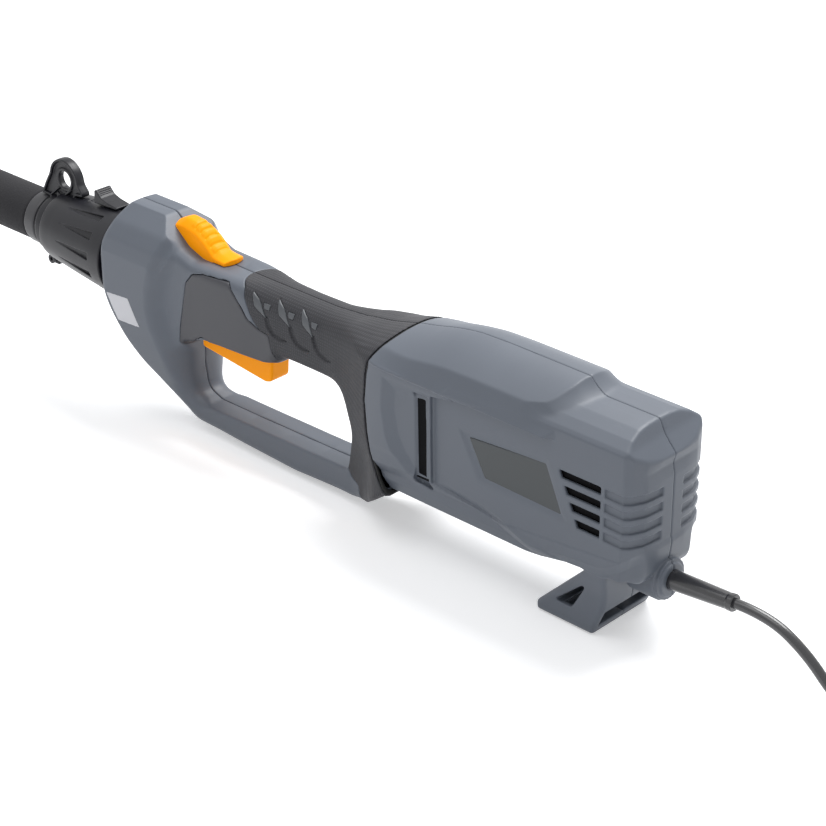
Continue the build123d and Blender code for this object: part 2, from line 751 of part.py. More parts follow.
def rotor():
    """Armature, its windings, commutator and fan on the motor shaft, whose end is the pinion."""
    core_r = STATOR_BORE - AIR_GAP
    core = ring_x(STATOR_FRONT, core_r, SHAFT_R, STATOR_LENGTH, MOTOR_Z)
    slots = 12
    for count in range(slots):
        turn = 360 * count / slots
        notch = Pos(STATOR_FRONT + STATOR_LENGTH / 2, 0, MOTOR_Z) * Rot(turn, 0, 0)
        core -= notch * Pos(0, 0, core_r) * Box(STATOR_LENGTH + 2, 2.4, 7)
    keep("armature_core", core)
    front = turned_x(
        [
            (STATOR_FRONT - 9.5, SHAFT_R + 3),
            (STATOR_FRONT - 9.5, core_r - 6),
            (STATOR_FRONT - 6, core_r - 2.5),
            (STATOR_FRONT, core_r - 2.5),
            (STATOR_FRONT, SHAFT_R),
            (STATOR_FRONT - 2, SHAFT_R),
        ],
        MOTOR_Z,
    )
    rear = turned_x(
        [
            (STATOR_REAR, SHAFT_R),
            (STATOR_REAR, core_r - 2.5),
            (STATOR_REAR + 7, core_r - 3.5),
            (COMMUTATOR_FRONT, COMMUTATOR_R - 1),
            (COMMUTATOR_FRONT, SHAFT_R),
        ],
        MOTOR_Z,
    )
    keep("armature_windings", front, rear)
    copper = ring_x(COMMUTATOR_FRONT, COMMUTATOR_R, SHAFT_R, COMMUTATOR_LENGTH, MOTOR_Z)
    bars = 24
    for count in range(bars):
        turn = 360 * count / bars
        gap = Pos(COMMUTATOR_FRONT + COMMUTATOR_LENGTH / 2, 0, MOTOR_Z) * Rot(turn, 0, 0)
        copper -= gap * Pos(0, 0, COMMUTATOR_R) * Box(COMMUTATOR_LENGTH + 2, 0.5, 2)
    keep("commutator", copper)
    shaft = along_x(GEAR_REAR, SHAFT_R, REAR_BEARING_X + MOTOR_BEARING_W - GEAR_REAR, MOTOR_Z)
    pinion_plane = Plane.YZ.offset(GEAR_FRONT) * Pos(0, MOTOR_Z)
    shaft += extrude(gear_face(pinion_plane, PINION_TEETH, SPUR_MODULE, 90), GEAR_WIDTH)
    keep("motor_shaft", shaft)
    hub = ring_x(FAN_FRONT, 9, SHAFT_R, FAN_LENGTH, MOTOR_Z)
    hub += ring_x(FAN_REAR - 2, FAN_R, SHAFT_R, 2, MOTOR_Z)
    vanes = 9
    for count in range(vanes):
        turn = Pos(FAN_FRONT + 1, 0, MOTOR_Z) * Rot(360 * count / vanes, 0, 0)
        hub += turn * Pos((FAN_LENGTH - 2) / 2, 2, (FAN_R + 7) / 2) * Box(FAN_LENGTH - 2, 1.6, FAN_R - 8)
    keep("cooling_fan", hub)


def gear_face(plane, teeth, module, start, stretch=1.0):
    """Outline of a straight-flanked gear; start is the angle of one tooth's middle."""
    pitch_r = teeth * module / 2
    rise = 0.85 * module
    sink = 1.2 * module
    half = 0.21 * pi * module
    lean = tan(radians(22))
    tip_r = pitch_r + rise * stretch
    root_r = pitch_r - sink * stretch
    tip_half = (half - rise * lean) / pitch_r
    root_half = (half + sink * lean * 0.8) / pitch_r
    points = []
    for count in range(teeth):
        middle = radians(start + 360 * count / teeth)
        for radius, turn in ((root_r, -root_half), (tip_r, -tip_half), (tip_r, tip_half), (root_r, root_half)):
            points.append((radius * cos(middle + turn), radius * sin(middle + turn)))
    return plane * make_face(Polyline(*points, close=True))


def plate_blank():
    """Outline block of the gear plate."""
    return block(PLATE_FRONT, PLATE_REAR, -31, 31, MOTOR_Z - 21, high(20))


def first_stage():
    """Drive gear, the plate that carries it beside the motor, and the ball bearings."""
    start = -90 + 180 / GEAR_TEETH
    wheel = extrude(
        gear_face(Plane.YZ.offset(GEAR_FRONT) * Pos(0, AXIS_Z), GEAR_TEETH, SPUR_MODULE, start),
        GEAR_WIDTH,
    )
    wheel -= along_x(GEAR_FRONT - 1, SHAFT_R, GEAR_WIDTH + 2)
    keep("drive_gear", wheel)
    front = turned_bearing(PLATE_REAR - MOTOR_BEARING_W, MOTOR_BEARING_W, MOTOR_BEARING_R, MOTOR_Z)
    rear = turned_bearing(REAR_BEARING_X, MOTOR_BEARING_W, REAR_BEARING_R, MOTOR_Z)
    plate = plate_blank()
    plate -= along_x(PLATE_REAR - MOTOR_BEARING_W, MOTOR_BEARING_R, MOTOR_BEARING_W + 1, MOTOR_Z)
    plate -= along_x(PLATE_FRONT - 1, SHAFT_R + 1.5, 30, MOTOR_Z)
    plate -= along_x(PLATE_FRONT - 1, DRIVE_BEARING_R, DRIVE_BEARING_W + 1)
    plate -= along_x(PLATE_FRONT - 1, SHAFT_R + 1, 8)
    keep("gear_plate", plate)
    places = [PLATE_FRONT, JOINT_WEB - DRIVE_BEARING_W / 2] + [x - DRIVE_BEARING_W / 2 for x in SHAFT_WEBS]
    small = [turned_bearing(x, DRIVE_BEARING_W, DRIVE_BEARING_R, AXIS_Z) for x in places]
    keep("ball_bearings", front, rear, *small)


def turned_bearing(x, width, outer, z, bore=SHAFT_R):
    """Closed ball bearing along X, with the shallow steps of its shields."""
    bore += SLIP
    middle = (outer + bore) / 2
    return turned_x(
        [
            (x, bore),
            (x, middle - 1.2),
            (x + 0.4, middle - 1.0),
            (x + 0.4, middle + 1.0),
            (x, middle + 1.2),
            (x, outer),
            (x + width, outer),
            (x + width, middle + 1.2),
            (x + width - 0.4, middle + 1.0),
            (x + width - 0.4, middle - 1.0),
            (x + width, middle - 1.2),
            (x + width, bore),
        ],
        z,
    )


def brushes():
    """Carbon brushes in their holders, and the suppressor capacitor."""
    holders = []
    carbons = []
    middle = COMMUTATOR_FRONT + COMMUTATOR_LENGTH / 2
    low = MOTOR_Z - 3.5
    top = MOTOR_Z + 3.5
    for side in (-1, 1):
        inner = side * (COMMUTATOR_R + 1.8)
        outer = side * 32.0
        y0, y1 = sorted((inner, outer))
        holder = block(COMMUTATOR_FRONT + 1.5, REAR_BEARING_X, y0, y1, low - 2.5, top + 2.5)
        holder -= block(middle - 4.5, middle + 4.5, y0 - 1, y1 + 1, low, top)
        y0, y1 = sorted((outer, outer - side * 1.5))
        holder += block(middle - 4.5, middle + 4.5, y0, y1, low, top)
        holders.append(holder)
        y0, y1 = sorted((side * (COMMUTATOR_R + 0.3), outer - side * 6))
        carbons.append(block(middle - 4.4, middle + 4.4, y0, y1, low + 0.1, top - 0.1))
    keep("brush_holders", *holders)
    keep("carbon_brushes", *carbons)
    can = along_x(REAR_BEARING_X + MOTOR_BEARING_W, 8, 26, MOTOR_Z + 25)
    keep("suppressor_capacitor", fillet(can.edges().sort_by(Axis.X)[-1:], 1.5))


# ---------------------------------------------------------------- drive line
COUPLING_REAR = RIM_X - 2.0
COUPLING_LENGTH = 22.0
SQUARE = 5.6
FLEX_GAP = 15.0  # from the tilt pivot to each end of the flexible shaft


def drive_line():
    """Drive shaft in the handle, its square coupling, and the shaft in the pole."""
    rear = PLATE_FRONT + DRIVE_BEARING_W
    keep("drive_shaft", along_x(COUPLING_REAR - 11, SHAFT_R, rear - COUPLING_REAR + 11))
    sleeve = along_x(COUPLING_REAR - COUPLING_LENGTH, 7.0, COUPLING_LENGTH)
    sleeve -= along_x(COUPLING_REAR - 11, SHAFT_R, 12)
    middle = COUPLING_REAR - COUPLING_LENGTH + 5
    sleeve -= Pos(middle, 0, AXIS_Z) * Box(12, SQUARE + 0.2, SQUARE + 0.2)
    keep("coupling_sleeve", sleeve)
    end = COUPLING_REAR - COUPLING_LENGTH
    front = PIVOT_X + FLEX_GAP
    shaft = along_x(front, SHAFT_R, end - 1 - front)
    shaft += Pos(end + 4, 0, AXIS_Z) * Box(11, SQUARE, SQUARE)
    keep("pole_shaft", shaft)
    bushes = []
    span = SOCKET_FRONT - TUBE_FRONT
    for share in (0.06, 0.36, 0.66, 0.94):
        x = TUBE_FRONT + span * share
        bushes.append(ring_x(x, TUBE_R - TUBE_WALL, SHAFT_R + SLIP, 14))
    keep("shaft_bushes", *bushes)


# ---------------------------------------------------------------- collar, slider, eye
SOCKET_STOP = -487.0
COLLAR_REAR = RIM_X - 1.0
SADDLE_Z = 33.0  # top of the collar's saddle over the drive axis


def pole_socket():
    """Socket that the pole plugs into, held by its flange inside the handle's rim."""
    flange = RIM_X + WALL
    keep(
        "pole_socket",
        turned_x(
            [
                (SOCKET_FRONT, TUBE_R + SEAM),
                (SOCKET_FRONT, 18.0),
                (COLLAR_FRONT_X, 18.0),
                (COLLAR_FRONT_X, SOCKET_R),
                (flange, SOCKET_R),
                (flange, 29.0),
                (flange + 4, 29.0),
                (flange + 4, 11.0),
                (SOCKET_STOP, 11.0),
                (SOCKET_STOP, TUBE_R + SEAM),
            ]
        ),
    )


def collar():
    """Turning collar over the socket, and the slider that locks it."""
    bore = SOCKET_R + LOOSE
    body = turned_x(
        [
            (COLLAR_FRONT_X + 0.3, bore),
            (COLLAR_FRONT_X + 0.3, COLLAR_FRONT_R - 1.5),
            (COLLAR_FRONT_X + 2, COLLAR_FRONT_R),
            (COLLAR_FRONT_X + 12, COLLAR_FRONT_R + 1.5),
            (-500.0, 30.0),
            (-472.0, RIM_R - 1.8),
            (COLLAR_REAR, RIM_R - 1.2),
            (COLLAR_REAR, bore),
        ]
    )
    flutes = 12
    for count in range(flutes):
        turn = Pos(-497, 0, AXIS_Z) * Rot(360 * (count + 0.5) / flutes, 0, 0)
        body -= turn * Pos(0, 0, 31.2) * Rot(0, -8.5, 0) * Box(44, 3.0, 3.0)
    saddle = side_block(
        [
            (-506, high(24), 0),
            (-503, high(SADDLE_Z - 1), 2),
            (-496, high(SADDLE_Z), 2),
            (COLLAR_REAR, high(SADDLE_Z), 0),
            (COLLAR_REAR, high(24), 0),
        ],
        11.5,
    )
    body += saddle
    body -= block(-510, COLLAR_REAR + 1, -12, 12, high(SADDLE_Z), high(60))
    body -= block(-504, COLLAR_REAR + 1, -3, 3, high(SADDLE_Z - 3.2), high(SADDLE_Z + 5))
    keep("collar", body)
    top = high(SADDLE_Z + 0.3)
    x0 = RIM_X - 3.5
    slide = side_block(
        [
            (x0 - 38, top, 0),
            (x0 - 38, high(38), 2),
            (x0 - 21, high(47.5), 2),
            (x0 - 13, high(41), 2),
            (x0, high(40.5), 1.5),
            (x0, top, 0),
        ],
        9.5,
    )
    for count in range(4):
        slide -= Pos(x0 - 32.5 + count * 3.4, 0, high(40.9 + count * 1.95)) * Rot(0, -29, 0) * Box(1.1, 20, 1.6)
    slide += block(x0 - 35, x0 - 3, -2.65, 2.65, high(SADDLE_Z - 2.8), top + 1)
    keep("slider_lock", slide)


def strap_eye():
    """Clamp ring with the eye for a shoulder strap, and its screw."""
    front = SOCKET_FRONT + 0.5
    rear = COLLAR_FRONT_X - 0.3
    ring = ring_x(front, 22.5, 18.0, rear - front)
    plate = side_block(
        [
            (front, high(19.5), 0),
            (front, high(24), 0),
            (EYE_X - 15.5, high(EYE_Z), 0),
            (EYE_X - 15.5, high(EYE_Z + 15), 14),
            (EYE_X + 16, high(EYE_Z + 15), 15),
            (EYE_X + 18.5, high(EYE_Z - 10.5), 0),
            (rear, high(EYE_Z - 12.5), 3),
            (rear, high(19.5), 0),
        ],
        EYE_THICK / 2,
    )
    rim = along_y(EYE_X, high(EYE_Z), EYE_R + 3.2, EYE_THICK + 2.4)
    ears = block(front, rear, -8, 8, high(-33), high(-18.5)) - along_x(front - 1, 18.0, 20)
    eye = ring + plate + rim + ears
    eye -= along_y(EYE_X, high(EYE_Z), EYE_R, 40)
    eye -= block(front - 1, rear + 1, -1.2, 1.2, high(-40), high(-15))
    middle = (front + rear) / 2
    eye -= along_y(middle, high(-28), 2.0, 40)
    eye -= along_x(front - 1, 18.0, 20)
    keep("strap_clamp", eye)
    screw = along_y(middle, high(-28), 2.0, 16)
    screw += along_y(middle, high(-28), 3.8, 3, -9.5) - along_y(middle, high(-28), 1.6, 2, -10.5)
    nut = Pos(middle, 9.6, high(-28)) * Rot(90, 0, 0) * extrude(RegularPolygon(3.9, 6), 1.6, both=True)
    nut -= along_y(middle, high(-28), 2.0, 40)
    keep("clamp_screw", screw + nut)


# ---------------------------------------------------------------- pole
def pole():
    """Aluminium tube with its grey ferrule and foam grip."""
    keep("pole_tube", ring_x(TUBE_FRONT, TUBE_R, TUBE_R - TUBE_WALL, SOCKET_STOP - TUBE_FRONT))
    keep(
        "pole_ferrule",
        turned_x(
            [
                (FOAM_REAR, TUBE_R),
                (FOAM_REAR, 17.0),
                (FOAM_REAR + 1.5, 17.8),
                (SOCKET_FRONT - 2.5, 17.8),
                (SOCKET_FRONT - 1.0, 17.0),
                (SOCKET_FRONT - 1.0, 16.0),
                (SOCKET_FRONT, 16.0),
                (SOCKET_FRONT, TUBE_R),
            ]
        ),
    )
    foam = ring_x(FOAM_REAR - FOAM_LENGTH, FOAM_R, TUBE_R, FOAM_LENGTH)
    rims = foam.edges().filter_by(GeomType.CIRCLE).filter_by(lambda e: abs(e.radius - FOAM_R) < 0.01)
    keep("foam_grip", fillet(rims, 3.0))


# ---------------------------------------------------------------- tilting head
APEX_X = PIVOT_X - CRANK_AHEAD
BEVEL_GEAR_R = BEVEL_MODULE * BEVEL_GEAR_TEETH / 2
BEVEL_PINION_R = BEVEL_MODULE * BEVEL_PINION_TEETH / 2
CROWN_OUTER = BEVEL_GEAR_R + 2.6
CROWN_INNER = BEVEL_GEAR_R - 8.0
CROWN_UNDER = -10.2
FLOOR_TOP = -13.0
FLOOR = -16.2
BLADE_GAP = 0.2
UPPER_BLADE_TOP = FLOOR - BAR_THICK - BLADE_GAP
LOWER_BLADE_TOP = UPPER_BLADE_TOP - BLADE_THICK - BLADE_GAP
STACK_UNDER = LOWER_BLADE_TOP - BLADE_THICK
COVER_TOP = STACK_UNDER - 0.9
COVER_THICK = 2.4
HEAD_BEARING_R = 8.0
CASE_FRONT = APEX_X - 36.0
CASE_REAR = APEX_X + 62.0
CASE_HALF_W = 31.0
CASE_WALL = 3.0
CASE_TOP = 21.0
YOKE_HALF_X = ECCENTRIC_R + 2 * ECCENTRIC + 6.0
YOKE_HALF_Y = ECCENTRIC_R + ECCENTRIC + 6.0
TEETH_REAR = CASE_FRONT - 10.0
TEETH_FRONT = TEETH_REAR - BLADE_REACH
GUARD_FRONT = TEETH_FRONT - 20.0
GUARD_UNDER = COVER_TOP - 2.8
GUARD_ROUND = 3.0
BLADE_STROKE = 5.0
REACH = PIVOT_X - GUARD_FRONT - GUARD_ROUND
DROP = -GUARD_UNDER - GUARD_ROUND
HEAD_TILT = degrees(asin((AXIS_Z - GUARD_ROUND) / hypot(REACH, DROP)) - atan(DROP / REACH))


def tilted(shape):
    """A piece of the level head, tilted down until the tip guard rests on the ground."""
    return Pos(PIVOT_X, 0, AXIS_Z) * Rot(0, -HEAD_TILT, 0) * Pos(-PIVOT_X, 0, -AXIS_Z) * shape


def pole_end():
    """Fork on the end of the pole, with the stub bolts that the head tilts on."""
    rear = TUBE_FRONT + 42
    socket = ring_x(TUBE_FRONT, 18.5, TUBE_R, rear - TUBE_FRONT)
    wall = ring_x(TUBE_FRONT - 6, 18.5, SHAFT_R + 3, 6)
    arms = side_block(
        [
            (TUBE_FRONT + 4, high(-16), 0),
            (TUBE_FRONT + 4, high(16), 0),
            (PIVOT_X - KNUCKLE_R, high(KNUCKLE_R), 16.5),
            (PIVOT_X - KNUCKLE_R, high(-KNUCKLE_R), 16.5),
        ],
        FORK_GAP_HALF + FORK_ARM,
    )
    room = block(PIVOT_X - 40, TUBE_FRONT - 6, -FORK_GAP_HALF, FORK_GAP_HALF, high(-30), high(30))
    inner = along_x(TUBE_FRONT - 7, TUBE_R, 80)
    fork = socket + wall + (arms - room - inner)
    fork -= along_y(PIVOT_X, AXIS_Z, PIVOT_BOLT_R, 80)
    keep("pole_fork", fork)
    bolts = []
    for side in (-1, 1):
        low = FORK_GAP_HALF - 7
        long = FORK_GAP_HALF + FORK_ARM + 0.5 - low
        shank = along_y(PIVOT_X, AXIS_Z, PIVOT_BOLT_R, long, side * (low + long / 2))
        head = along_y(PIVOT_X, AXIS_Z, 7.0, BOLT_HEAD, side * (FORK_GAP_HALF + FORK_ARM + BOLT_HEAD / 2))
        if side < 0:
            socket_hole = Pos(PIVOT_X, -FORK_GAP_HALF - FORK_ARM - BOLT_HEAD, AXIS_Z) * Rot(90, 0, 0)
            head -= socket_hole * extrude(RegularPolygon(3.2, 6), 2, both=True)
        bolts.append(shank + head)
    stud_root = FORK_GAP_HALF + FORK_ARM + BOLT_HEAD
    stud = along_y(PIVOT_X, AXIS_Z, STUD_R, STUD_LENGTH, stud_root + STUD_LENGTH / 2)
    keep("tilt_bolts", bolts[0], bolts[1] + stud)


def tilt_knob():
    """Wing knob on the right stub bolt that clamps the tilt."""
    seat = FORK_GAP_HALF + FORK_ARM + BOLT_HEAD + 0.3
    knob = along_y(PIVOT_X, AXIS_Z, 11, 15, seat + 7.5)
    wing = block(PIVOT_X - 22, PIVOT_X + 22, seat + 2, seat + 14, high(-4), high(4))
    ends = wing.edges().filter_by(Axis.Y)
    knob += fillet(ends, 3.9)
    knob -= along_y(PIVOT_X, AXIS_Z, STUD_R + SLIP, 2 * STUD_LENGTH, seat)
    keep("tilt_knob", knob)


def flexible_shaft():
    """Flexible shaft across the tilt pivot, bent to the head's resting angle."""
    pivot = Vector(PIVOT_X, 0, AXIS_Z)
    back = pivot + Vector(FLEX_GAP, 0, 0)
    ahead = pivot - Vector(cos(radians(HEAD_TILT)), 0, sin(radians(HEAD_TILT))) * FLEX_GAP
    path = FilletPolyline(back, pivot, ahead, radius=FLEX_GAP * 2)
    profile = Plane(origin=back, z_dir=(-1, 0, 0)) * Circle(3.4)
    keep("flexible_shaft", sweep(profile, path))


def bevel_loft(plane_at, teeth, start, cone, near, far):
    """Bevel gear body between two scaled outlines; near and far are shares of the pitch cone."""
    stretch = 1 / cos(cone)
    faces = []
    for share in (near, far):
        faces.append(gear_face(plane_at(share), teeth, BEVEL_MODULE * share, start, stretch))
    return loft(faces, ruled=True)


def bevel_stage():
    """Pinion on the head's shaft and the crank's crown gear, meshing behind the crank."""
    pinion_cone = atan(BEVEL_PINION_TEETH / BEVEL_GEAR_TEETH)
    crown_cone = pi / 2 - pinion_cone
    near = CROWN_INNER / BEVEL_GEAR_R

    def pinion_plane(share):
        return Plane.YZ.offset(APEX_X + BEVEL_GEAR_R * share) * Pos(0, AXIS_Z)

    def crown_plane(share):
        return Plane.XY.offset(high(-BEVEL_PINION_R * share)) * Pos(APEX_X, 0)

    pinion = bevel_loft(pinion_plane, BEVEL_PINION_TEETH, -90, pinion_cone, near, 1.0)
    back = APEX_X + BEVEL_GEAR_R
    pinion += along_x(back - 0.2, BEVEL_PINION_R - 2.6, PIVOT_X - FLEX_GAP - back + 0.2)
    keep("head_pinion", tilted(pinion))
    start = 180 / BEVEL_GEAR_TEETH
    far = -CROWN_UNDER / BEVEL_PINION_R
    crown = bevel_loft(crown_plane, BEVEL_GEAR_TEETH, start, crown_cone, near * 0.8, far)
    crown &= along_z(APEX_X, 0, high(CROWN_UNDER), high(10), CROWN_OUTER)
    crown += along_z(APEX_X, 0, high(FLOOR_TOP + 0.6), high(CROWN_UNDER), CROWN_OUTER)
    crown -= along_z(APEX_X, 0, high(-40), high(20), SHAFT_R)
    crown -= along_z(APEX_X, 0, high(CROWN_UNDER), high(20), CROWN_INNER - 2)
    keep("crown_gear", tilted(crown))
    shaft = along_z(APEX_X, 0, high(STACK_UNDER - 0.3), high(15.0), SHAFT_R)
    for side, top in ((1, UPPER_BLADE_TOP), (-1, LOWER_BLADE_TOP)):
        cam = along_z(APEX_X, side * ECCENTRIC, high(top - BLADE_THICK), high(top), ECCENTRIC_R)
        shaft += cam
    keep("crank_shaft", tilted(shaft))
    head_bearings = [
        turned_bearing(back + 7, DRIVE_BEARING_W, HEAD_BEARING_R, AXIS_Z, BEVEL_PINION_R - 2.6),
        turned_bearing(back + 20, DRIVE_BEARING_W, HEAD_BEARING_R, AXIS_Z, BEVEL_PINION_R - 2.6),
    ]
    for low in (FLOOR + 0.1, 11.0):
        ring = along_z(APEX_X, 0, high(low), high(low + 3), HEAD_BEARING_R)
        head_bearings.append(ring - along_z(APEX_X, 0, high(low - 1), high(low + 4), SHAFT_R + SLIP))
    keep("head_bearings", *[tilted(one) for one in head_bearings])


def case_outline(inset):
    """Plan outline of the gear case round the crank, as rounded corners."""
    half = CASE_HALF_W - inset
    return [
        (CASE_FRONT + inset, -14 + inset * 0.5, 3),
        (CASE_FRONT + 14 + inset * 0.6, -half, 9),
        (APEX_X + 24 - inset * 0.3, -half, 9),
        (CASE_REAR - 16, -14.6 + inset, 3),
        (CASE_REAR - 16, 14.6 - inset, 3),
        (APEX_X + 24 - inset * 0.3, half, 9),
        (CASE_FRONT + 14 + inset * 0.6, half, 9),
        (CASE_FRONT + inset, 14 - inset * 0.5, 3),
    ]


def guard_screw():
    """Screw that holds the tip guard on the blade bar."""
    screw = along_z(GUARD_FRONT + 9, 0, high(FLOOR - BAR_THICK), high(FLOOR + 1), 2.0)
    screw += along_z(GUARD_FRONT + 9, 0, high(FLOOR + 1), high(FLOOR + 3.2), 3.8)
    return screw - Pos(GUARD_FRONT + 9, 0, high(FLOOR + 3.2)) * Box(1.0, 5.0, 1.6)


def gear_case():
    """Split gear case with the knuckle that turns between the fork's arms."""
    plan = Plane.XY.offset(high(FLOOR))
    box = extrude(rounded(plan, case_outline(0)), CASE_TOP - FLOOR)
    inner_plan = rounded(Plane.XY.offset(high(FLOOR_TOP)), case_outline(CASE_WALL))
    room = extrude(inner_plan, CASE_TOP - CASE_WALL - FLOOR_TOP)
    room -= block(APEX_X + BEVEL_GEAR_R + 5, CASE_REAR + 50, -20, 20, high(-30), high(30))
    knuckle = side_block(
        [
            (CASE_REAR - 20, high(-14), 0),
            (CASE_REAR - 20, high(14), 0),
            (PIVOT_X + KNUCKLE_R - 1, high(KNUCKLE_R - 1), 14.5),
            (PIVOT_X + KNUCKLE_R - 1, high(1 - KNUCKLE_R), 14.5),
        ],
        FORK_GAP_HALF - LOOSE,
    )
    sweep_room = side_block(
        [
            (PIVOT_X - FLEX_GAP - 1.5, high(-5), 0),
            (PIVOT_X + 40, high(-34), 0),
            (PIVOT_X + 40, high(34), 0),
            (PIVOT_X - FLEX_GAP - 1.5, high(5), 0),
        ],
        7.0,
    )
    back = APEX_X + BEVEL_GEAR_R
    case = box - room + knuckle
    case -= sweep_room
    case -= along_x(back + 4, BEVEL_PINION_R - 1.8, 60)
    case -= along_x(back + 7, HEAD_BEARING_R, DRIVE_BEARING_W)
    case -= along_x(back + 20, HEAD_BEARING_R, DRIVE_BEARING_W)
    case -= along_y(PIVOT_X, AXIS_Z, PIVOT_BOLT_R + SLIP, 80)
    case -= along_z(APEX_X, 0, high(FLOOR - 1), high(FLOOR_TOP + 1), HEAD_BEARING_R)
    case += along_z(APEX_X, 0, high(11), high(CASE_TOP - 1), HEAD_BEARING_R + 3)
    case -= along_z(APEX_X, 0, high(10), high(14), HEAD_BEARING_R)
    case -= along_z(APEX_X, 0, high(13), high(16), SHAFT_R + 1)
    holes = []
    screws = []
    for x, y in CASE_SCREWS:
        case += along_z(x, y, high(FLOOR), high(CASE_TOP - 4), 3.6) & box
        holes.append(along_z(x, y, high(FLOOR + 2), high(CASE_TOP + 2), 1.6))
        holes.append(along_z(x, y, high(CASE_TOP - 3), high(CASE_TOP + 2), 3.4))
        screw = along_z(x, y, high(FLOOR + 2), high(CASE_TOP - 3), 1.6)
        screw += along_z(x, y, high(CASE_TOP - 3), high(CASE_TOP - 0.8), 3.1)
        screw -= Pos(x, y, high(CASE_TOP - 0.8)) * (Box(3.4, 0.8, 1.6) + Box(0.8, 3.4, 1.6))
        screws.append(tilted(screw))
    for hole in holes:
        case -= hole
    lower = case & block(CASE_FRONT - 5, PIVOT_X + 60, -60, 60, high(-60), AXIS_Z)
    upper = case & block(CASE_FRONT - 5, PIVOT_X + 60, -60, 60, AXIS_Z, high(60))
    keep("gear_case_lower", tilted(solids(lower)[0]))
    keep("gear_case_upper", tilted(solids(upper)[0]))
    screws.append(tilted(guard_screw()))
    keep("head_screws", *screws)


CASE_SCREWS = [(CASE_FRONT + 8.5, -10), (CASE_FRONT + 8.5, 10), (APEX_X + 27, -20.5), (APEX_X + 27, 20.5)]


def blade_bolt_places():
    """X of the bolts along the blades."""
    count = 5
    first = TEETH_REAR - TOOTH_PITCH
    last = TEETH_FRONT + TOOTH_PITCH * 0.8
    return [first + (last - first) * step / (count - 1) for step in range(count)]


def blade(top, shift):
    """Double-sided blade with its yoke round the crank's eccentric."""
    teeth = int(BLADE_REACH / TOOTH_PITCH)
    edge = [(TEETH_REAR, SPINE_HALF_W)]
    for count in range(teeth):
        middle = TEETH_REAR - shift - TOOTH_PITCH * (count + 0.5)
        edge += [
            (middle + 6.5, SPINE_HALF_W),
            (middle + 3.2, TOOTH_TIP),
            (middle - 2.6, TOOTH_TIP),
            (middle - 6.5, SPINE_HALF_W),
        ]
    edge.append((TEETH_FRONT - 6, SPINE_HALF_W))
    outline = edge + [(x, -y) for x, y in reversed(edge)]
    plan = Plane.XY.offset(high(top - BLADE_THICK))
    comb = extrude(plan * make_face(Polyline(*outline, close=True)), BLADE_THICK)
    tang = extrude(rounded(plan, [
        (TEETH_REAR - 1, -SPINE_HALF_W, 0),
        (APEX_X - YOKE_HALF_X, -SPINE_HALF_W, 3),
        (APEX_X - YOKE_HALF_X, -YOKE_HALF_Y, 6),
        (APEX_X + YOKE_HALF_X, -YOKE_HALF_Y, 6),
        (APEX_X + YOKE_HALF_X, YOKE_HALF_Y, 6),
        (APEX_X - YOKE_HALF_X, YOKE_HALF_Y, 6),
        (APEX_X - YOKE_HALF_X, SPINE_HALF_W, 3),
        (TEETH_REAR - 1, SPINE_HALF_W, 0),
    ]), BLADE_THICK)
    window = extrude(
        plan * Pos(APEX_X, 0) * RectangleRounded(2 * YOKE_HALF_X - 11, 2 * YOKE_HALF_Y - 11, 5),
        BLADE_THICK,
    )
    piece = comb + tang - window
    for x in blade_bolt_places():
        slot = SlotOverall(2 * (BLADE_BOLT_R + BLADE_STROKE + 0.4), 2 * (BLADE_BOLT_R + 0.3))
        piece -= extrude(plan * Pos(x, 0) * slot, BLADE_THICK)
    return tilted(piece)


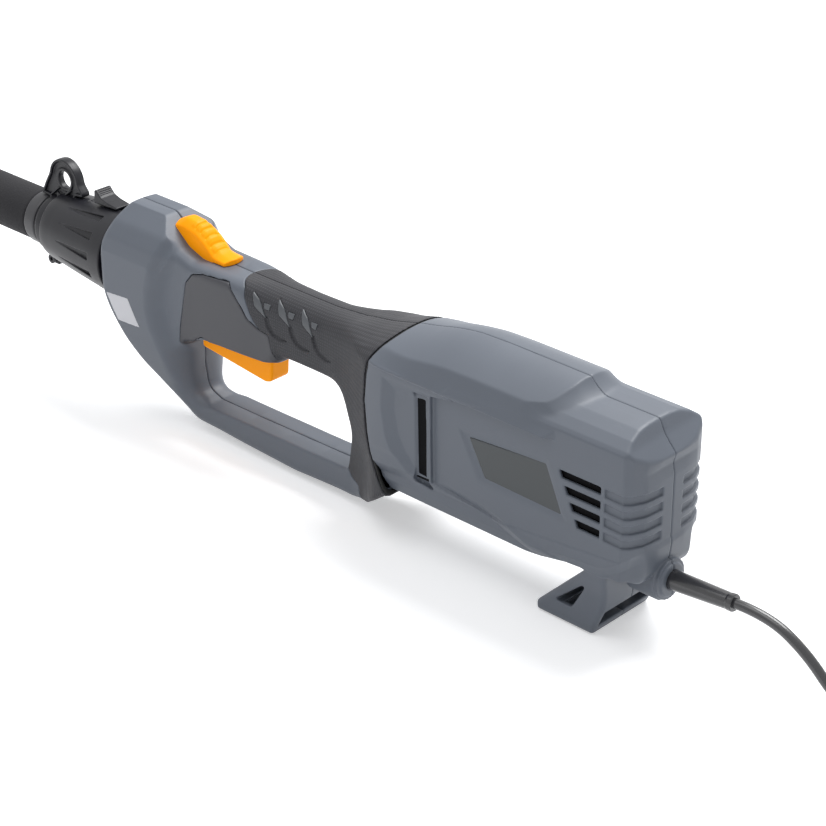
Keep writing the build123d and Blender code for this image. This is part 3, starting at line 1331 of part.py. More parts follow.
def cutters():
    """The two blades, the bar that backs them, its bolts, the tip guard and the yoke cover."""
    keep("upper_blade", blade(UPPER_BLADE_TOP, -3.0))
    keep("lower_blade", blade(LOWER_BLADE_TOP, 3.0))
    bar = block(GUARD_FRONT + 4, CASE_FRONT + 10, -8, 8, high(FLOOR - BAR_THICK), high(FLOOR))
    bolts = []
    for x in blade_bolt_places():
        bar -= along_z(x, 0, high(-40), high(0), BLADE_BOLT_R)
        bolt = along_z(x, 0, high(STACK_UNDER - 1), high(FLOOR), BLADE_BOLT_R)
        bolt += along_z(x, 0, high(STACK_UNDER - 2.4), high(STACK_UNDER - BLADE_GAP), 4.6)
        nut = Pos(x, 0, high(FLOOR)) * extrude(RegularPolygon(4.6, 6), 3.4)
        bolts.append(tilted(bolt + nut))
    foot_x = [CASE_FRONT + 4, GUARD_FRONT + 9]
    for x in foot_x:
        bar -= along_z(x, 0, high(-40), high(0), 2.0)
    keep("blade_bar", tilted(bar))
    keep("blade_bolts", *bolts)
    guard = side_block(
        [
            (GUARD_FRONT, high(GUARD_UNDER), GUARD_ROUND),
            (GUARD_FRONT, high(FLOOR + 1), 4),
            (TEETH_FRONT - 13, high(FLOOR + 1), 0),
            (TEETH_FRONT - 13, high(GUARD_UNDER), 2),
        ],
        TOOTH_TIP,
    )
    plan = rounded(
        Plane.XY.offset(high(-60)),
        [
            (GUARD_FRONT, -18, 6),
            (TEETH_FRONT - 13, -TOOTH_TIP, 0),
            (TEETH_FRONT - 13, TOOTH_TIP, 0),
            (GUARD_FRONT, 18, 6),
        ],
    )
    guard &= extrude(plan, 80)
    guard -= block(GUARD_FRONT + 4, TEETH_FRONT, -8, 8, high(FLOOR - BAR_THICK), high(FLOOR))
    guard -= along_z(GUARD_FRONT + 9, 0, high(FLOOR - 3), high(40), 2.0)
    keep("tip_guard", tilted(guard))
    front = CASE_FRONT + 1
    rear = APEX_X + YOKE_HALF_X + BLADE_STROKE + 4
    half = YOKE_HALF_Y + 4.0
    cover = block(front, rear, -half, half, high(COVER_TOP - COVER_THICK), high(FLOOR))
    cover = fillet(cover.edges().filter_by(Axis.Z), 5)
    cover = fillet(cover.faces().sort_by(Axis.Z)[0].edges(), 1.5)
    cover -= block(front - 5, rear - 2.5, -half + 2.5, half - 2.5, high(COVER_TOP), high(FLOOR + 1))
    keep("yoke_cover", tilted(cover))


# ---------------------------------------------------------------- cord
BOOT_REAR = REAR_X + 51.0
BOOT_RISE = 3.3
FLOOR_Z = CORD_R + 0.25  # height of the cord's centre line on the ground
ROUTE = [
    (BOOT_REAR, 0, GLAND_Z + BOOT_RISE),
    (137, 0, 51.4),
    (166, 0, 38),
    (190, 0, 16),
    (214, 1, FLOOR_Z),
    (241, 6, FLOOR_Z),
    (265, 20, FLOOR_Z),
    (278, 44, FLOOR_Z),
    (278, 71, FLOOR_Z),
    (264, 94, FLOOR_Z),
    (241, 107, FLOOR_Z + 0.2),
    (213, 110, 8),
    (186, 110.5, PLUG_HALF_H),
]


def cord_path():
    """Straight runs joined by tangent arcs, each as large as its runs allow."""
    points = [Vector(*place) for place in ROUTE]
    radii = []
    for before, here, after in zip(points, points[1:], points[2:]):
        turn = radians((here - before).get_angle(after - here))
        shorter = min((here - before).length, (after - here).length)
        radii.append(0.45 * shorter / tan(turn / 2))
    print("cord radii", [round(radius) for radius in radii])
    return FilletPolyline(*points, radius=radii)


def cord():
    """Strain relief boot, its clamp in the gland, the cord and its plug."""
    axis = Vector(BOOT_REAR - REAR_X, 0, BOOT_RISE)
    start = Vector(REAR_X, 0, GLAND_Z)
    boot_plane = Plane(origin=start, z_dir=axis)
    length = axis.length
    outline = [
        (0, SEAM),
        (6.9, SEAM),
        (6.9, 3),
        (5.7, length - 5),
        (6.0, length - 3.5),
        (6.0, length - 0.8),
        (5.4, length),
        (0, length),
    ]
    profile = Plane(origin=start, x_dir=boot_plane.x_dir, z_dir=boot_plane.x_dir.cross(boot_plane.z_dir))
    face = make_face(Polyline(*[boot_plane.from_local_coords((r, 0, h)) for r, h in outline], close=True))
    boot = revolve(face, Axis(start, axis), 360)
    boot += along_x(REAR_X - 24, GLAND_BORE_R - SEAM, 24.5, GLAND_Z)
    keep("cord_boot", boot)
    keep("cord_clamp", ring_x(REAR_X - 21, 9.8, GLAND_BORE_R, 8, GLAND_Z))
    path = cord_path()
    tube = sweep(Plane(origin=path @ 0, z_dir=path % 0) * Circle(CORD_R), path)
    share = tube.volume / (pi * CORD_R**2 * path.length)
    print("cord length", round(path.length), "volume share", round(share, 4))
    keep("mains_cord", tube)
    end = path @ 1
    way = path % 1
    flat = Vector(way.X, way.Y, 0).normalized()
    plane = Plane(origin=Vector(end.X, end.Y, PLUG_HALF_H), x_dir=flat.cross(Vector(0, 0, 1)), z_dir=flat)
    tall = 2 * PLUG_HALF_H
    stations = [
        (0, 9, 9, 4.2),
        (14, 12, 11, 5),
        (20, 30, 22, 9),
        (27, 36, tall, 12.5),
        (PLUG_LENGTH, 36, tall, 12.5),
    ]
    faces = [plane.offset(h) * RectangleRounded(w, t, r) for h, w, t, r in stations]
    keep("mains_plug", loft(faces, ruled=True))
    pins = []
    for side in (-1, 1):
        pin = plane.offset(PLUG_LENGTH) * Pos(side * PLUG_PITCH / 2, 0)
        pins.append(pin * extrude(Circle(PLUG_PIN_R), PLUG_PIN_LENGTH))
    keep("plug_pins", *pins)
    centre = plane.offset(PLUG_LENGTH + PLUG_PIN_LENGTH / 2).origin
    print("plug pins", [round(v, 3) for v in (*centre, *flat)])


# ---------------------------------------------------------------- the whole tool
motor_shells()
handle_shells()
shell_screws()
trigger()
lock_button()
stator()
rotor()
first_stage()
brushes()
drive_line()
pole_socket()
collar()
strap_eye()
pole()
pole_end()
tilt_knob()
flexible_shaft()
bevel_stage()
gear_case()
cutters()
cord()
os.makedirs("parts", exist_ok=True)
for name, shape in NODES.items():
    export_step(shape, f"parts/{name}.step")
print(len(NODES), "nodes; head tilted", round(HEAD_TILT, 2), "degrees")
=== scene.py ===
"""Pole hedge trimmer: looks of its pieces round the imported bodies, one class per sub-assembly."""
import json
import logging
from dataclasses import dataclass, field
from enum import Enum
from functools import reduce
from math import cos, hypot, pi, radians, sin, tan
from typing import Sequence

import bpy
import numpy as np
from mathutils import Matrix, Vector


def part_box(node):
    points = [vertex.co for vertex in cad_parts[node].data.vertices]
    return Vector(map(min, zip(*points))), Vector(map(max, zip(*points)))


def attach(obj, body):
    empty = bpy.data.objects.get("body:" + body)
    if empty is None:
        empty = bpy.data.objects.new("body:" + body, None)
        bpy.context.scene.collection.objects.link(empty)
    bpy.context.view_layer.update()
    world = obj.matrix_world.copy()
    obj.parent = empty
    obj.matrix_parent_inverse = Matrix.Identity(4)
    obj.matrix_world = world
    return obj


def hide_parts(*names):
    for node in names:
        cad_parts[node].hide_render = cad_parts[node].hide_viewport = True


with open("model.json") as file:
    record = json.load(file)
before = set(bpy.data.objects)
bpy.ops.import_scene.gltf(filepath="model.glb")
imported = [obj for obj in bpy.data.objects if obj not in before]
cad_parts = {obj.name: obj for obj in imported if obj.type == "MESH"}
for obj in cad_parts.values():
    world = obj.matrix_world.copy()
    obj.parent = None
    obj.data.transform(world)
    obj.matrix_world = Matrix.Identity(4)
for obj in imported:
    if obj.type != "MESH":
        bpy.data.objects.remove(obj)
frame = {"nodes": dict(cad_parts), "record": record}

LOG = logging.getLogger("pole_trimmer")
MM = 0.001
METRE = 1000.0
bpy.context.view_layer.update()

AXIS_Z = 115.7  # pole and drive shaft over the ground
JOINT_X = -174.0
REAR_X = 61.0
RIM_X = -458.0
SEAM_GAP = 0.12  # half of the gap between the left and the right shell
WALL = 2.8
SIDES = ((-1, "left"), (1, "right"))


# ---------------------------------------------------------------- shader expressions
class Wire:
    """A node socket that takes part in arithmetic."""

    def __init__(self, tree: bpy.types.NodeTree, socket: bpy.types.NodeSocket) -> None:
        """Keeps the socket and the tree it is in."""
        self.tree = tree
        self.socket = socket

    def maths(self, operation: str, *others: "Wire | float", clamp: bool = False) -> "Wire":
        """Adds a Math node.

        Args:
            operation: the node's operation, such as ADD.
            others: what follows this value, as wires or numbers.
            clamp: whether the result is held between 0 and 1.

        Returns:
            The node's result.
        """
        settings = {"operation": operation, "use_clamp": clamp}
        return Shader.add(self.tree, "ShaderNodeMath", settings, dict(enumerate((self, *others))))

    def __add__(self, other: "Wire | float") -> "Wire":
        """Sum."""
        return self.maths("ADD", other)

    __radd__ = __add__

    def __sub__(self, other: "Wire | float") -> "Wire":
        """Difference."""
        return self.maths("SUBTRACT", other)

    def __rsub__(self, other: float) -> "Wire":
        """Difference from a number."""
        return (self * -1.0).maths("ADD", other)

    def __mul__(self, other: "Wire | float") -> "Wire":
        """Product."""
        return self.maths("MULTIPLY", other)

    __rmul__ = __mul__

    def above(self, limit: float, soft: float) -> "Wire":
        """A mask that rises from 0 to 1 over a soft band round a limit.

        Args:
            limit: where the mask is a half.
            soft: width of the band.

        Returns:
            The mask.
        """
        return ((self - limit) * (1.0 / soft)).maths("ADD", 0.5, clamp=True)

    def sine(self, pitch: float) -> "Wire":
        """A wave of this pitch, from 0 to 1."""
        return (self * (2 * pi / pitch)).maths("SINE") * 0.5 + 0.5


class Shader:
    """One material's node tree with its Principled surface."""

    def __init__(self, name: str) -> None:
        """Makes an empty material.

        Args:
            name: the material's name.
        """
        self.material = bpy.data.materials.new(name)
        self.material.use_nodes = True
        self.tree = self.material.node_tree
        self.tree.nodes.clear()
        output = self.tree.nodes.new("ShaderNodeOutputMaterial")
        self.surface = self.tree.nodes.new("ShaderNodeBsdfPrincipled")
        self.tree.links.new(self.surface.outputs[0], output.inputs[0])

    @staticmethod
    def add(
        tree: bpy.types.NodeTree,
        kind: str,
        settings: dict[str, object],
        sockets: dict[int | str, object],
        result: int | str = 0,
    ) -> Wire:
        """Adds one node.

        Args:
            tree: the tree it goes into.
            kind: the node's type.
            settings: its properties.
            sockets: values or wires of its inputs, by number or name.
            result: the output that is wanted.

        Returns:
            That output.
        """
        node = tree.nodes.new(kind)
        for key, value in settings.items():
            setattr(node, key, value)
        for key, value in sockets.items():
            if isinstance(value, Wire):
                tree.links.new(value.socket, node.inputs[key])
            else:
                node.inputs[key].default_value = value
        return Wire(tree, node.outputs[result])

    def node(self, kind: str, settings: dict, sockets: dict, result: int | str = 0) -> Wire:
        """Adds a node to this material; see add."""
        return self.add(self.tree, kind, settings, sockets, result)

    def place(self) -> tuple[Wire, Wire, Wire, Wire]:
        """The position on the object in metres.

        Returns:
            The whole vector, then its x, y and z.
        """
        where = self.node("ShaderNodeTexCoord", {}, {}, "Object")
        parts = [self.node("ShaderNodeSeparateXYZ", {}, {0: where}, axis) for axis in "XYZ"]
        return (where, *parts)

    def noise(
        self, where: Wire, size_mm: float, detail: float = 2.0, stretch: Sequence[float] = (1, 1, 1)
    ) -> Wire:
        """Noise of a given grain size.

        Args:
            where: the position it varies with.
            size_mm: size of one grain.
            detail: how many finer layers it has.
            stretch: how much longer the grains are along each axis.

        Returns:
            Its value, about 0.5 on average.
        """
        scaled = self.node("ShaderNodeMapping", {}, {0: where, 3: tuple(1.0 / s for s in stretch)})
        sockets = {"Vector": scaled, "Scale": METRE / size_mm, "Detail": detail}
        return self.node("ShaderNodeTexNoise", {}, sockets)

    def blend(self, factor: Wire, first: Sequence[float], second: Sequence[float]) -> Wire:
        """Mixes two colours.

        Args:
            factor: 0 for the first, 1 for the second.
            first: a colour.
            second: another.

        Returns:
            The mixed colour.
        """
        sockets = {"Factor": factor, 6: (*first, 1.0), 7: (*second, 1.0)}
        return self.node("ShaderNodeMix", {"data_type": "RGBA"}, sockets, 2)

    def set(self, **values: object) -> None:
        """Sets sockets of the surface.

        Args:
            values: values or wires by socket, with underscores for the spaces in its name.
        """
        for key, value in values.items():
            socket = self.surface.inputs[key.replace("_", " ")]
            if isinstance(value, Wire):
                self.tree.links.new(value.socket, socket)
            else:
                socket.default_value = value

    def bump(self, height: Wire, depth_mm: float) -> None:
        """Raises the surface.

        Args:
            height: 0 to 1 over the surface.
            depth_mm: what 1 stands for.
        """
        sockets = {"Strength": 1.0, "Distance": depth_mm * MM, "Height": height}
        self.set(Normal=self.node("ShaderNodeBump", {}, sockets))


# ---------------------------------------------------------------- finishes
Colour = tuple[float, float, float]
CLOUD_MM = 45.0  # size of the patches over which a colour varies


class Texture(Enum):
    """Surface texture of a finish."""

    PLAIN = "plain"
    DOTS = "dots"
    FOAM = "foam"
    BRUSHED = "brushed"


@dataclass(frozen=True)
class Finish:
    """How one material looks."""

    name: str
    slot: str
    colour: Colour
    roughness: float
    metallic: float = 0.0
    grain_mm: float = 0.7  # size of the moulded grain
    relief_mm: float = 0.02  # its depth
    variation: float = 0.08  # share by which colour and roughness vary
    coat: float = 0.0
    specular: float = 0.5
    # painted glow: emission in the finish's own colour, so a part shines as if more strongly lit
    glow: float = 0.0
    texture: Texture = Texture.PLAIN

    def material(self) -> bpy.types.Material:
        """The material, made once.

        Returns:
            The material with this finish.
        """
        known = bpy.data.materials.get(self.name)
        if known:
            return known
        shader = Shader(self.name)
        where, x, y, z = shader.place()
        cloud = shader.noise(where, CLOUD_MM, 3.0)
        dark = tuple(c * (1 - self.variation) for c in self.colour)
        light = tuple(min(1.0, c * (1 + self.variation)) for c in self.colour)
        shader.set(Base_Color=shader.blend(cloud, dark, light), Metallic=self.metallic)
        shader.set(Coat_Weight=self.coat, Coat_Roughness=0.25, Specular_IOR_Level=self.specular)
        shader.set(Emission_Color=(*self.colour, 1.0), Emission_Strength=self.glow)
        fine = shader.noise(where, self.grain_mm)
        shader.set(Roughness=cloud * (self.variation * 2) + (self.roughness - self.variation))
        if self.texture is Texture.DOTS:
            studs = self.dots(y, x, z)
            pale = tuple(c * 1.5 for c in self.colour)
            shader.set(Base_Color=shader.blend(studs * 0.7 + cloud * 0.2, dark, pale))
            shader.bump(studs * 0.9 + fine * 0.1, self.relief_mm)
        elif self.texture is Texture.FOAM:
            sockets = {"Vector": where, "Scale": METRE / self.grain_mm}
            cells = shader.node("ShaderNodeTexVoronoi", {}, sockets)
            shader.bump(cells * 0.7 + fine * 0.3, self.relief_mm)
        elif self.texture is Texture.BRUSHED:
            lines = shader.noise(where, self.grain_mm, 2.0, (40, 1, 1))
            shader.bump(lines, self.relief_mm)
            shader.set(Roughness=lines * 0.25 + (self.roughness - 0.12))
        else:
            shader.bump(fine, self.relief_mm)
        return shader.material

    @staticmethod
    def dots(y: Wire, x: Wire, z: Wire) -> Wire:
        """Rows of small square studs along and round the grip.

        Args:
            y: place across the tool.
            x: place along it.
            z: height.

        Returns:
            The studs' height, 0 to 1.
        """
        radius, pitch = 0.021, 0.0021
        turn = y.maths("ARCTAN2", z - AXIS_Z * MM)
        rows = (turn * radius).sine(pitch).above(0.45, 0.4)
        return rows * x.sine(pitch).above(0.45, 0.4)


HOUSING = Finish("housing_plastic", "housing", (0.112, 0.128, 0.156), 0.46, relief_mm=0.022)
PANEL = Finish("panel_skin", "soft_grip", (0.046, 0.047, 0.056), 0.42, relief_mm=0.010)
GRIP = Finish(
    "grip_skin", "soft_grip", (0.031, 0.0315, 0.0365),
    0.55, specular=0.35, relief_mm=0.22, texture=Texture.DOTS,
)
WEDGE = Finish("grip_wedges", "soft_grip", (0.085, 0.092, 0.102), 0.40, relief_mm=0.010)
# the orange plastic carries a painted glow (emission 0.2) that brightens it beyond its lighting
ORANGE = Finish("orange_plastic", "orange", (1.0, 0.33, 0.0), 0.42, variation=0.02, specular=0.15, glow=0.2)
BLACK = Finish(
    "black_plastic_moulded", "black_plastic", (0.010, 0.0102, 0.014),
    0.36, specular=0.36, relief_mm=0.02,
)
GREY = Finish("grey_plastic_moulded", "grey_plastic", (0.085, 0.087, 0.092), 0.5)
FOAM = Finish(
    "foam_sleeve", "foam", (0.014, 0.0138, 0.0165),
    0.9, grain_mm=1.1, relief_mm=0.35, texture=Texture.FOAM,
)
DARK_SCREW = Finish("blackened_screw", "steel", (0.030, 0.030, 0.034), 0.38, 0.6)
STEEL = Finish("steel_ground", "steel", (0.42, 0.42, 0.43), 0.3, 1.0, 0.25, 0.01, texture=Texture.BRUSHED)
ALUMINIUM = Finish(
    "aluminium_tube", "aluminium", (0.55, 0.56, 0.58), 0.32, 1.0, 0.25, 0.008, texture=Texture.BRUSHED
)
CAST = Finish("cast_alloy", "cast_alloy", (0.30, 0.305, 0.315), 0.55, 0.9, 1.1, 0.06)
IRON = Finish("laminated_iron", "iron", (0.10, 0.10, 0.105), 0.5, 0.8, 0.5, 0.02)
COPPER = Finish("winding_copper", "copper", (0.55, 0.22, 0.09), 0.35, 1.0, 0.4, 0.05, texture=Texture.BRUSHED)
BRASS = Finish("drawn_brass", "brass", (0.65, 0.46, 0.17), 0.3, 1.0, 0.4, 0.01)
CARBON = Finish("pressed_carbon", "carbon", (0.02, 0.02, 0.02), 0.7)
CORD = Finish(
    "cord_sheath", "cord_rubber", (0.021, 0.021, 0.024), 0.26, grain_mm=2.0, relief_mm=0.03, coat=0.6
)
RING = Finish("ring_plastic", "grey_plastic", (0.040, 0.040, 0.045), 0.36)
PLATE = Finish("bare_plate", "housing", (0.030, 0.037, 0.041), 0.30, relief_mm=0.004)
LABEL = Finish("bare_label", "housing", (0.64, 0.645, 0.68), 0.35, relief_mm=0.002, variation=0.02)
# painted shade: near black, for the shaded gap in the joint between handle and motor housing
GAP_SHADE = Finish("joint_gap_shade", "black_plastic", (0.006, 0.006, 0.006), 0.7)
# painted shade: near black, seen through the louvres and the slot where the inside lies in shade
SHADE_SCREEN = Finish("shade_screen", "black_plastic", (0.0018, 0.0018, 0.0024), 0.6, specular=0.06)

PLASTICS = (HOUSING, PANEL, ORANGE, BLACK, GREY, FOAM, CORD)
METALS = (STEEL, ALUMINIUM, CAST, IRON, COPPER, BRASS)
SLOT_FINISH = {one.slot: one for one in (*PLASTICS, *METALS, CARBON)}


# ---------------------------------------------------------------- solids as fields
Corners = Sequence[Sequence[float]]
ARC_POINTS = 6


def rounded(corners: Corners) -> np.ndarray:
    """Points of a closed outline whose corners may have a radius.

    Args:
        corners: (u, v) or (u, v, radius).

    Returns:
        The outline's points.
    """
    points = []
    count = len(corners)
    for i, corner in enumerate(corners):
        here = np.array(corner[:2], float)
        radius = corner[2] if len(corner) > 2 else 0.0
        if radius <= 0:
            points.append(here)
            continue
        before = np.array(corners[i - 1][:2], float) - here
        after = np.array(corners[(i + 1) % count][:2], float) - here
        reach = min(hypot(*before), hypot(*after)) * 0.49
        before /= hypot(*before)
        after /= hypot(*after)
        half = np.arccos(np.clip(before @ after, -0.9999, 0.9999)) / 2
        run = min(radius / tan(half), reach)
        for share in np.linspace(0, 1, ARC_POINTS):
            a = here + before * run * (1 - share)
            b = here + after * run * share
            points.append(a + (b - a) * share)
    return np.array(points)


def outline(u: np.ndarray, v: np.ndarray, corners: Corners) -> np.ndarray:
    """Signed distance to a closed outline, negative inside.

    Args:
        u: first coordinate of the samples.
        v: second coordinate.
        corners: the outline's corners.

    Returns:
        The distances, as wide as u and v together.
    """
    points = rounded(corners)
    best = np.full(np.broadcast(u, v).shape, 1e9, np.float32)
    inside = np.zeros(best.shape, bool)
    for (ax, ay), (bx, by) in zip(points, np.roll(points, -1, axis=0)):
        ex, ey = bx - ax, by - ay
        long = ex * ex + ey * ey
        if long < 1e-9:
            continue
        share = np.clip(((u - ax) * ex + (v - ay) * ey) / long, 0, 1)
        best = np.minimum(best, (u - ax - share * ex) ** 2 + (v - ay - share * ey) ** 2)
        if abs(ey) > 1e-9:
            crossing = (ay > v) != (by > v)
            inside ^= crossing & (u < ex * (v - ay) / ey + ax)
    return np.where(inside, -np.sqrt(best), np.sqrt(best)).astype(np.float32)


def through(x: np.ndarray, knots: Corners) -> np.ndarray:
    """A smooth value through (x, value) knots, without overshoot.

    Args:
        x: where it is wanted.
        knots: the knots, with rising x.

    Returns:
        The values.
    """
    xs, ys = np.array(knots, float).T
    slopes = np.diff(ys) / np.diff(xs)
    tangent = np.zeros_like(ys)
    tangent[0], tangent[-1] = slopes[0], slopes[-1]
    same = slopes[:-1] * slopes[1:] > 0
    tangent[1:-1][same] = 2 * (slopes[:-1] * slopes[1:])[same] / (slopes[:-1] + slopes[1:])[same]
    at = np.clip(np.searchsorted(xs, x) - 1, 0, len(xs) - 2)
    wide = xs[at + 1] - xs[at]
    t = np.clip((x - xs[at]) / wide, 0, 1)
    low = (1 + 2 * t) * (1 - t) ** 2 * ys[at] + t * (1 - t) ** 2 * wide * tangent[at]
    high = t * t * (3 - 2 * t) * ys[at + 1] + t * t * (t - 1) * wide * tangent[at + 1]
    return (low + high).astype(np.float32)


def ramp(values: np.ndarray, low: float, high: float) -> np.ndarray:
    """0 below low, 1 above high, and a smooth step between."""
    t = np.clip((values - low) / (high - low), 0, 1)
    return t * t * (3 - 2 * t)


def join(a: np.ndarray, b: np.ndarray, soft: float) -> np.ndarray:
    """Union of two fields with a fillet.

    Args:
        a: one field.
        b: the other.
        soft: about the fillet's radius.

    Returns:
        The union.
    """
    k = soft / 0.85
    h = np.maximum(k - np.abs(a - b), 0)
    return np.minimum(a, b) - h * h / (4 * k)


def trim(a: np.ndarray, b: np.ndarray, soft: float | np.ndarray = 0.0) -> np.ndarray:
    """What two fields share, with rounded edges.

    Args:
        a: one field.
        b: the other.
        soft: about the edges' radius, which may vary from place to place.

    Returns:
        The shared part.
    """
    k = np.maximum(soft, 0.02) / 0.85
    h = np.maximum(k - np.abs(a - b), 0)
    return np.maximum(a, b) + h * h / (4 * k)


def carve(a: np.ndarray, b: np.ndarray, soft: float | np.ndarray) -> np.ndarray:
    """The first field without the second, with edges rounded by about this radius."""
    return trim(a, -b, soft)


def shared(*parts: np.ndarray) -> np.ndarray:
    """What all of these fields share, with sharp edges."""
    return reduce(np.maximum, parts)


def slab(place: np.ndarray, middle: float, half: float) -> np.ndarray:
    """Field of what is within half of a middle."""
    return np.abs(place - middle) - half


def layer(body: np.ndarray, top: float, bottom: float) -> np.ndarray:
    """Field of the layer between two depths under a surface."""
    return np.maximum(body + top, -(body + bottom))


@dataclass
class Grid:
    """Samples in a box, in millimetres; the box is a little larger than the solid."""

    low: tuple[float, float, float]
    high: tuple[float, float, float]
    step: float
    x: np.ndarray = field(init=False)
    y: np.ndarray = field(init=False)
    z: np.ndarray = field(init=False)
    w: np.ndarray = field(init=False)  # distance from the middle plane

    def __post_init__(self) -> None:
        """Works out the sample places."""
        lines = []
        for a, b in zip(self.low, self.high):
            lines.append(np.arange(a, b + self.step, self.step, dtype=np.float32))
        self.x = lines[0][:, None, None]
        self.y = lines[1][None, :, None]
        self.z = lines[2][None, None, :]
        self.w = np.abs(self.y)

    def reach(self, height: float = AXIS_Z) -> np.ndarray:
        """Distance from a line along the tool, which is the pole's axis if no height is given."""
        return np.hypot(self.y, self.z - height)

    def skin(self, values: np.ndarray) -> tuple[np.ndarray, np.ndarray]:
        """The surface where a field is zero, as quads with one point in each crossed cell.

        Args:
            values: the field on this grid.

        Returns:
            The points in millimetres, and each quad's four point numbers.
        """
        values = np.broadcast_to(values, (self.x.size, self.y.size, self.z.size)).astype(np.float32)
        inside = values < 0
        total = np.zeros([n - 1 for n in values.shape], np.int8)
        shifts = [(i, j, k) for i in (0, 1) for j in (0, 1) for k in (0, 1)]
        nx, ny, nz = total.shape
        for i, j, k in shifts:
            total += inside[i:i + nx, j:j + ny, k:k + nz]
        cells = np.argwhere((total > 0) & (total < 8))
        number = np.full(total.shape, -1, np.int32)
        number[tuple(cells.T)] = np.arange(len(cells))
        axes = [self.x.ravel(), self.y.ravel(), self.z.ravel()]
        points = np.zeros((len(cells), 3), np.float64)
        hits = np.zeros(len(cells), np.float64)
        for first in shifts:
            for axis in range(3):
                if first[axis]:
                    continue
                a = cells + np.array(first)
                b = a.copy()
                b[:, axis] += 1
                va = values[tuple(a.T)]
                vb = values[tuple(b.T)]
                cross = (va < 0) != (vb < 0)
                share = np.where(cross, va / np.where(cross, va - vb, 1), 0)
                for other in range(3):
                    start = axes[other][a[:, other]]
                    end = axes[other][b[:, other]]
                    points[:, other] += np.where(cross, start + (end - start) * share, 0)
                hits += cross
        points /= hits[:, None]
        quads = []
        for axis in range(3):
            u, v = [(1, 2), (2, 0), (0, 1)][axis]
            before = [slice(1, None)] * 3
            before[axis] = slice(None)
            after = list(before)
            first = [slice(1, -1)] * 3
            first[axis] = slice(0, -1)
            second = list(first)
            second[axis] = slice(1, None)
            change = inside[tuple(first)].astype(np.int8) - inside[tuple(second)].astype(np.int8)
            for sign in (1, -1):
                at = np.argwhere(change == sign)
                at[:, u] += 1
                at[:, v] += 1
                ring = []
                for du, dv in ((-1, -1), (0, -1), (0, 0), (-1, 0)):
                    cell = at.copy()
                    cell[:, u] += du
                    cell[:, v] += dv
                    ring.append(number[tuple(cell.T)])
                quads.append(np.stack(ring if sign > 0 else ring[::-1], axis=1))
        return points, np.concatenate(quads)


# ---------------------------------------------------------------- pieces
def add_object(name: str, data: bpy.types.ID) -> bpy.types.Object:
    """Adds an object to the scene.

    Args:
        name: its name.
        data: its mesh, curve, lamp or camera data.

    Returns:
        The object.
    """
    made = bpy.data.objects.new(name, data)
    bpy.context.scene.collection.objects.link(made)
    return made


def aim(thing: bpy.types.Object, way: Vector) -> None:
    """Turns a camera or lamp to look this way."""
    thing.rotation_euler = way.to_track_quat("-Z", "Y").to_euler()


def add_mesh(name: str, points: np.ndarray, faces: np.ndarray) -> bpy.types.Object:
    """A smooth-shaded object from points in millimetres.

    Args:
        name: the piece's name.
        points: its points.
        faces: each face's point numbers, all of one length.

    Returns:
        The object.
    """
    mesh = bpy.data.meshes.new(name)
    sides = faces.shape[1]
    mesh.vertices.add(len(points))
    mesh.vertices.foreach_set("co", (points * MM).astype(np.float32).ravel())
    mesh.loops.add(faces.size)
    mesh.loops.foreach_set("vertex_index", faces.astype(np.int32).ravel())
    mesh.polygons.add(len(faces))
    mesh.polygons.foreach_set("loop_start", np.arange(0, faces.size, sides, dtype=np.int32))
    mesh.polygons.foreach_set("loop_total", np.full(len(faces), sides, np.int32))
    mesh.update(calc_edges=True)
    mesh.validate()
    mesh.polygons.foreach_set("use_smooth", np.ones(len(mesh.polygons), bool))
    return add_object(name, mesh)


def thin(piece: bpy.types.Object, share: float) -> None:
    """Leaves some of a mesh's faces, fewest where it is flat.

    Args:
        piece: the object.
        share: share of the faces that is kept.
    """
    if share < 1:
        modifier = piece.modifiers.new("thin", "DECIMATE")
        modifier.ratio = share
        modifier.use_collapse_triangulate = True


def finish_piece(piece: bpy.types.Object, finish: Finish, body: str, replaced: Sequence[str]) -> None:
    """Dresses a piece and ties it to a body.

    Args:
        piece: the object.
        finish: its finish.
        body: the body it rides on.
        replaced: the CAD nodes it stands for.
    """
    piece.data.materials.clear()
    piece.data.materials.append(finish.material())
    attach(piece, body)
    if replaced:
        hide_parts(*replaced)
    LOG.info("%s on %s, %d faces", piece.name, body, len(piece.data.polygons))


def moulded(
    name: str,
    grid: Grid,
    values: np.ndarray,
    finish: Finish,
    body: str = "power_unit",
    replaced: Sequence[str] = (),
    share: float = 1.0,
) -> None:
    """Makes a piece from a field.

    Args:
        name: the piece's name.
        grid: the grid of the field.
        values: the field.
        finish: its finish.
        body: the body it rides on.
        replaced: the CAD nodes it stands for.
        share: share of its faces that is kept.
    """
    piece = add_mesh(name, *grid.skin(values))
    thin(piece, share)
    finish_piece(piece, finish, body, replaced)


def mirrored(
    name: str, grid: Grid, values: np.ndarray, finish: Finish, replaced: str = "", share: float = 1.0
) -> None:
    """Makes both sides of a piece of the power unit from the field of the right one.

    Args:
        name: the pieces' name without the side.
        grid: the grid of the field.
        values: the field.
        finish: their finish.
        replaced: the CAD node they stand for, with {} for the side.
        share: share of their faces that is kept.
    """
    points, faces = grid.skin(values)
    for side, label in SIDES:
        turned = faces if side > 0 else faces[:, ::-1]
        piece = add_mesh(f"{name}_{label}", points * (1, side, 1), turned)
        thin(piece, share)
        finish_piece(piece, finish, "power_unit", [replaced.format(label)] if replaced else ())


